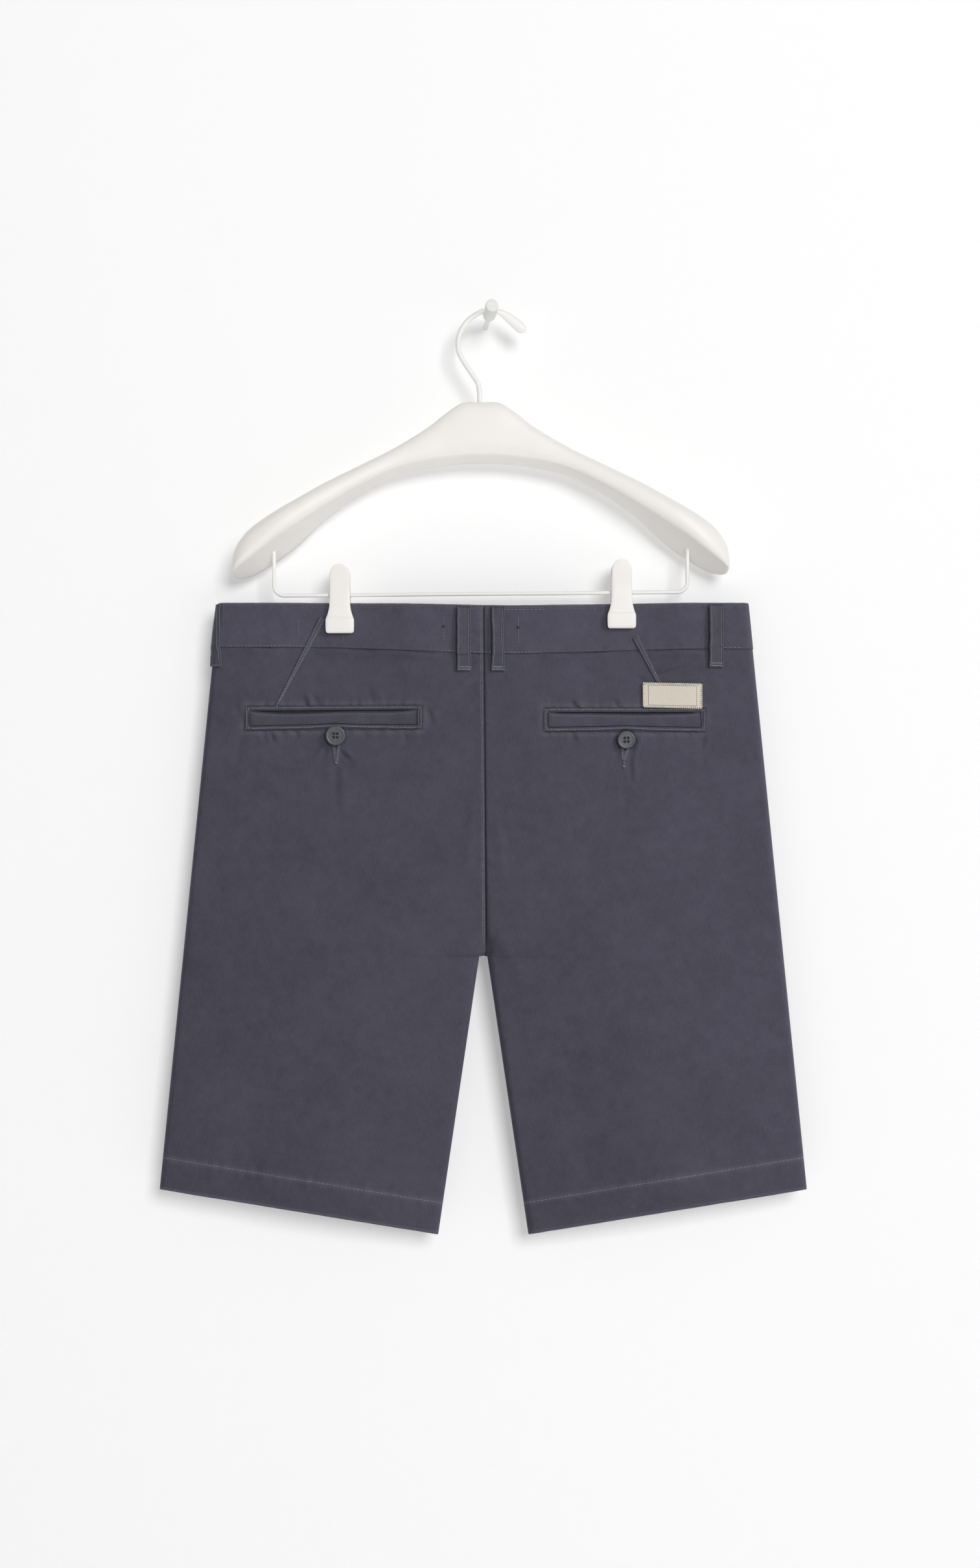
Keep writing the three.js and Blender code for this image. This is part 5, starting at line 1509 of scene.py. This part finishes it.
def buttonhole(half):
    """A buttonhole below its button: two corded edges that meet in a point, open purl stitches over them and
    a bar tack at the foot, with cloth showing between them and a near-black strip of painted shade down the
    lower part of the gap."""
    x, half_width, top, foot_x, foot = BUTTONHOLES[half]
    lines = []
    meet = foot - BUTTONHOLE_STEM[half]
    for edge in (-1, 1):
        start, end = np.array([x + edge * half_width, top]), np.array([foot_x + edge * 0.5, meet])
        name = f"buttonhole_{half}_{'left' if edge < 0 else 'right'}_cord"
        cloth_strip(name, "back", [start, end], 1.5, 0.55, 0.02, NAVY_CORD, pitch=0.8)
        for t in np.linspace(0, 1, 21):
            at = lerp(start, end, t)
            purl = [at - (0.75, 0.25), at + (0.75, -0.25)]
            lines.append(stitch_rings("back", purl, pitch=1.5, thread=0.34, lift=0.42))
    stem = [(foot_x, meet - 1), (foot_x, foot)]
    cloth_strip(f"buttonhole_{half}_stem", "back", stem, 1.5, 0.55, 0.02, NAVY_CORD, pitch=0.8)
    for at in np.arange(foot - 1.6, foot, 0.4):
        tack = [(foot_x - 0.4, at), (foot_x + 0.4, at)]
        lines.append(stitch_rings("back", tack, pitch=2.0, thread=0.56, lift=0.4))
    # a near-black strip of painted shade down the gap between the two edges
    slit = [(lerp(x, foot_x, 0.45), lerp(top, meet, 0.45)), (foot_x, meet - 0.5)]
    cloth_strip(f"buttonhole_{half}_slit", "back", slit, 0.4, 0.14, 0.01, NEAR_BLACK_AND_SHADE, pitch=0.8)
    return lines


def label_patch():
    """The woven label, laid over the cloth and sewn down by an overcast edge."""
    u = np.linspace(-0.5, 0.5, 26)[:, None]
    v = np.linspace(-0.5, 0.5, 56)[None, :]
    x = LABEL["x"] + v * LABEL["width"] + 0 * u
    drop = LABEL["drop"] + u * LABEL["height"] + LABEL["slant"] * v * LABEL["width"]
    rise = 1.5 - 0.5 * np.maximum(np.abs(2 * u), np.abs(2 * v)) ** 10 + 0.12 * np.sin(9 * v + 4 * u)
    smooth = place("back", x, drop, GAP / 2 + half_depth("back", x, drop) + rise)
    outer = smooth + np.array([0, -0.6, 0])
    uv = np.stack([v * LABEL["width"] + 0 * u, u * LABEL["height"] + 0 * v], axis=-1)
    mesh = shell("label_cloth", outer, smooth, (0.9, 0.9, 0.9, 0.9), uv)
    CUTS[mesh.name] = cut_of(outer)
    add_piece(mesh.name, mesh, "label", LABEL_CLOTH, "label_patch")


def label_stitches():
    """Overcast stitches round the label's edge."""
    half_w, half_h = LABEL["width"] / 2 - 0.5, LABEL["height"] / 2 - 0.5
    ring = [(-half_w, -half_h), (half_w, -half_h), (half_w, half_h), (-half_w, half_h)]
    point, way, _ = resample(ring, 1.6, closed=True)
    beside = np.stack([-way[:, 1], way[:, 0]], axis=1)
    t = np.linspace(-1, 1, 4)
    local = point[:, None] + beside[:, None] * t[None, :, None] * 0.85 + way[:, None] * t[None, :, None] * 0.3
    x = LABEL["x"] + local[..., 0]
    drop = LABEL["drop"] + local[..., 1] + LABEL["slant"] * local[..., 0]
    lift = 1.5 + 0.6 + 0.28 * (1 - t**2) - 0.1
    centre = place("back", x, drop, GAP / 2 + half_depth("back", x, drop) + lift[None, :])
    normal = np.broadcast_to([0.0, -1.0, 0.0], centre.shape)
    return [bead_rings(centre, normal, 0.72 * np.array([0.35, 0.5, 0.5, 0.35]))]


# ---- Front: pocket mouths and fly --------------------------------------------------------------------------
def front_trims():
    """The plain front: two slanted pocket mouths and the fly, each a strip or wall on the cloth."""
    lines = []
    for half, sign in SIGN.items():
        name = f"front_pocket_{half}"
        mouth = [
            (sign * (FRONT_POCKET["x1"] - FRONT_POCKET["width"] / 2), FRONT_POCKET["drop1"]),
            (sign * (FRONT_POCKET["x2"] - FRONT_POCKET["width"] / 2), FRONT_POCKET["drop2"]),
        ]
        cloth_strip(f"{name}_cloth", "front", mouth, FRONT_POCKET["width"], 0.9, 0.1, NAVY_TRIM, [name])
        for shift in (-2.6, 2.2):
            line = [(px + sign * shift, pd) for px, pd in mouth]
            lines.append(stitch_rings("front", line, lift=1.0))
    u = np.linspace(0, 1, 60)[:, None]
    v = np.linspace(0, 1, 16)[None, :]
    drop = lerp(FLY["top"], FLY["bottom"], np.sin(u * np.pi / 2)) + 0 * v
    t = np.clip((drop - (FLY["bottom"] - FLY["curve"])) / FLY["curve"], 0, 1)
    left = FLY["edge"] - FLY["width"] * np.sqrt(np.maximum(1 - t * t, 0.02))
    x = lerp(left, FLY["edge"], v)
    outer, _ = on_cloth("front", x, drop, 0.95 + 0 * x)
    inner, _ = on_cloth("front", x, drop, 0.15 + 0 * x)
    uv = np.stack([x, -drop], axis=-1)
    mesh = shell("fly_cloth", outer, inner, (0.8, 0.9, 0.8, 0.3), uv, {"wear": 0.4 * v**12 + 0 * u})
    CUTS[mesh.name] = cut_of(outer)
    add_piece(mesh.name, mesh, "trim_twill", NAVY_TRIM, "fly")
    for inset in (2.0, 7.0):
        row = np.stack([left[:, 0] + inset * (1 - 0.6 * t[:, 0]), drop[:, 0] - inset * t[:, 0]], axis=1)
        lines.append(stitch_rings("front", row, lift=1.0))
    return lines


# ---- Assembly ----------------------------------------------------------------------------------------------
for side_name in FACING:
    for half_name in HALVES:
        leg_panel(side_name, half_name)
for half_name in HALVES:
    waistband_half(half_name)

frame_lines, dart_lines, hole_lines = [], [], []
for half_name in HALVES:
    frame_lines += pocket_frame(half_name)
    pocket_welt(half_name)
    dart_lines += back_dart(half_name)
    hole_lines += buttonhole(half_name)
label_patch()
sew("pocket_stitching", "trim_twill", NAVY_THREAD, frame_lines)
sew("dart_stitching", "trim_twill", NAVY_THREAD, dart_lines)
sew("buttonhole_stitching", "trim_twill", PURL_THREAD, hole_lines)
sew("label_stitching", "label", CREAM_THREAD, label_stitches())

loop_lines = []
for number, (loop_name, (loop_side, loop_x, loop_foot)) in enumerate(FLAT_LOOPS.items()):
    loop_lines += flat_loop(loop_name, loop_side, loop_x, loop_foot, 80 + number)
loop_lines += fold_loop("belt_loop_side_left", "left", 90)
sew("loop_stitching", "trim_twill", NAVY_THREAD, loop_lines)

band_lines = [stitch_rings("back", [(8, 2.6), (48, 2.6)], pitch=2.9)]
edge_lines = [
    stitch_rings("back", [(-WAIST_HALF + 3, 2.6), (5, 2.6)], pitch=2.9),
    stitch_rings("back", [(51, 2.6), (WAIST_HALF - 3, 2.6)], pitch=2.9),
    stitch_rings("front", [(-WAIST_HALF + 3, 2.6), (WAIST_HALF - 3, 2.6)], pitch=2.9),
]
sew("waist_edge_stitching", "trim_twill", FAINT_THREAD, edge_lines)
BAND_DASHES = {"back": [(-205, -143), (-33, 48), (194, 207)], "front": [(-213, 213)]}
for side_name, stretches in BAND_DASHES.items():
    for x_from, x_to in stretches:
        xs = np.arange(x_from, x_to, 2.8)
        dashes = np.stack([xs, band_bottom(xs) - 0.7], axis=1)
        band_lines.append(stitch_rings(side_name, dashes, pitch=2.8, fill=0.62, thread=0.5))
TACKS = [(-31.5, 10.5, 27.8), (28, 10.5, 29.5), (-148, 14, 27), (-112, 26, 29)]
for tack_x, tack_top, tack_foot in TACKS:
    band_lines.append(stitch_rings("back", [(tack_x, tack_top), (tack_x, tack_foot)], pitch=2.1, thread=0.4))
sew("waistband_stitching", "trim_twill", NAVY_THREAD, band_lines)
knots = []
for tack_x, _, _ in TACKS[:2]:
    knots.append(stitch_rings("back", [(tack_x - 0.2, 16.9), (tack_x + 0.2, 17.5)], pitch=1.5, thread=1.1))
sew("tack_knots", "trim_twill", NEAR_BLACK_AND_SHADE, knots)

seam_lines = [
    stitch_rings("back", [(-1.3, 1), (-1.3, FORK_DROP - 4)], pitch=1.7, thread=0.44, fill=0.66),
    stitch_rings("back", [(-2.5, 1.8), (-2.5, FORK_DROP - 4)], pitch=1.7, thread=0.44, fill=0.66),
    stitch_rings("front", [(-2.5, 190), (-2.5, FORK_DROP - 4)], pitch=2.6),
]
for side_name in FACING:
    for sign in SIGN.values():
        hem = [
            (sign * (HEM_OUTER_HALF - 4), SIDE_DROP - HEM_DEPTH * 1.01 + 0.6),
            (sign * (HEM_INNER_HALF - 1.5), INSEAM_DROP - HEM_DEPTH * 1.01 + 0.6),
        ]
        seam_lines.append(stitch_rings(side_name, hem, pitch=3.1))
sew("seam_stitching", "trim_twill", NAVY_THREAD, seam_lines)

thread_lines = front_trims()
sew("front_stitching", "trim_twill", NAVY_THREAD, thread_lines)
button_threads, button_hole_painted_shade = [], []
for button_name in ("pocket_button_left", "pocket_button_right", "waist_button"):
    threads, holes = button_piece(button_name, "front" if button_name == "waist_button" else "back")
    button_threads += threads
    button_hole_painted_shade += holes
sew("button_thread", "button", BUTTON_THREAD, button_threads)
# the near-black plugs in the button holes are painted shade
sew("button_hole_painted_shade", "button", NEAR_BLACK_AND_SHADE, button_hole_painted_shade)

hanger_body()
hanger_hook()
trouser_bar()
for half_name in HALVES:
    clip_shell(f"clip_{half_name}_outer", FACING["back"])
    clip_shell(f"clip_{half_name}_inner", FACING["front"])
wall_peg()

BANDS = [f"waistband_{half_name}_cloth" for half_name in HALVES]
for cut_name, (cut_width, cut_length, cut_area) in CUTS.items():
    if cut_name in BANDS:
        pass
    elif "panel" in cut_name:
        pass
    elif "loop" in cut_name:
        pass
    elif cut_name == "fly_cloth":
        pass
    else:
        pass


# ---- Stage, light and camera -------------------------------------------------------------------------------
def one_sided(name, colour, glow):
    """A matt backdrop that is clear from behind."""
    material, link, shader, node = new_material(name)
    shader.inputs["Base Color"].default_value = (*colour, 1)
    shader.inputs["Roughness"].default_value = 1.0
    shader.inputs["Specular IOR Level"].default_value = 0.0
    shader.inputs["Emission Color"].default_value = (1, 1, 1, 1)
    shader.inputs["Emission Strength"].default_value = glow
    clear = node("ShaderNodeBsdfTransparent")
    behind = node("ShaderNodeNewGeometry")
    mix = node("ShaderNodeMixShader")
    link(behind.outputs["Backfacing"], mix.inputs[0])
    link(shader.outputs[0], mix.inputs[1])
    link(clear.outputs[0], mix.inputs[2])
    out = next(n for n in material.node_tree.nodes if n.type == "OUTPUT_MATERIAL")
    link(mix.outputs[0], out.inputs[0])
    return material


def backdrop(name, points, material):
    """One quad of the stage."""
    mesh = bpy.data.meshes.new(name)
    mesh.from_pydata(points, [], [(0, 1, 2, 3)])
    mesh.materials.append(material)
    piece = bpy.data.objects.new(name, mesh)
    bpy.context.scene.collection.objects.link(piece)
    return piece


FLOOR_Z = -1.45
wall = backdrop(
    "wall",
    [(-5, 0, FLOOR_Z), (5, 0, FLOOR_Z), (5, 0, 4), (-5, 0, 4)],
    one_sided("wall_paint", (0.8, 0.8, 0.8), 0.26),
)
wall.visible_shadow = False
floor = backdrop(
    "floor",
    [(-6, -8, FLOOR_Z), (6, -8, FLOOR_Z), (6, 8, FLOOR_Z), (-6, 8, FLOOR_Z)],
    one_sided("floor_paint", (0.8, 0.8, 0.8), 0.0),
)
floor.visible_shadow = False


def area_light(name, at, aim, size, power):
    """A square soft light at one place, turned to another."""
    light = bpy.data.lights.new(name, "AREA")
    light.size = size
    light.energy = power
    lamp = bpy.data.objects.new(name, light)
    lamp.location = at
    lamp.rotation_euler = (Vector(aim) - Vector(at)).to_track_quat("-Z", "Y").to_euler()
    bpy.context.scene.collection.objects.link(lamp)
    return lamp


def lit_only(lamp, pieces):
    """Lets a lamp light these pieces alone; everything still shades it."""
    group = bpy.data.collections.new(f"lit_by_{lamp.name}")
    for piece in pieces:
        group.objects.link(piece)
    lamp.light_linking.receiver_collection = group


MIDDLE = (0.0, -0.03, -0.38)
WHITES = (HANGER_WHITE, WIRE_WHITE, PEG_WHITE)
hard = [piece for piece in PIECES.values() if piece.data.materials[0] in WHITES]
soft = [piece for piece in PIECES.values() if piece.data.materials[0] not in WHITES]
KEY_AT = (1.6, -5.2, 1.3)
lit_only(area_light("key", KEY_AT, MIDDLE, 2.1, 184), [wall, floor, *hard])
lit_only(area_light("key_on_cloth", KEY_AT, MIDDLE, 2.1, 128), soft)
lit_only(area_light("rake_on_hanger", (1.9, -0.9, 1.6), MIDDLE, 0.9, 5), hard)
lit_only(area_light("fill_on_hanger", (-0.6, -3.4, -2.4), MIDDLE, 2.0, 25), hard)
lit_only(area_light("rake_on_cloth", (2.8, -2.03, 1.66), MIDDLE, 0.8, 80), soft)
area_light("behind", (-1.2, 2.6, 0.9), MIDDLE, 1.6, 14)

world = bpy.data.worlds.new("studio")
world.use_nodes = True
world.node_tree.nodes["Background"].inputs["Color"].default_value = (1, 1, 1, 1)
world.node_tree.nodes["Background"].inputs["Strength"].default_value = 0.2
bpy.context.scene.world = world
bpy.context.scene.view_settings.view_transform = "Standard"

CAMERA_FROM = 1800.0  # in front of the plane of the shorts
VIEW_HEIGHT = 1260.4  # of that plane, seen from the bottom of the frame to its top
CAMERA_DROP = 144.8  # of the camera's axis below the waist edge
CAMERA_RIGHT = 5.4  # of the camera's axis from the centre line of the shorts
camera = bpy.data.cameras.new("camera")
camera.sensor_width = 36.0
camera.lens = camera.sensor_width * CAMERA_FROM / VIEW_HEIGHT
viewer = bpy.data.objects.new("camera", camera)
eye = np.array([SHORTS_X + CAMERA_RIGHT, HANG_Y - CAMERA_FROM, WAIST_Z - CAMERA_DROP]) * MM
viewer.location = eye
viewer.rotation_euler = (math.pi / 2, 0, 0)
bpy.context.scene.collection.objects.link(viewer)
bpy.context.scene.camera = viewer
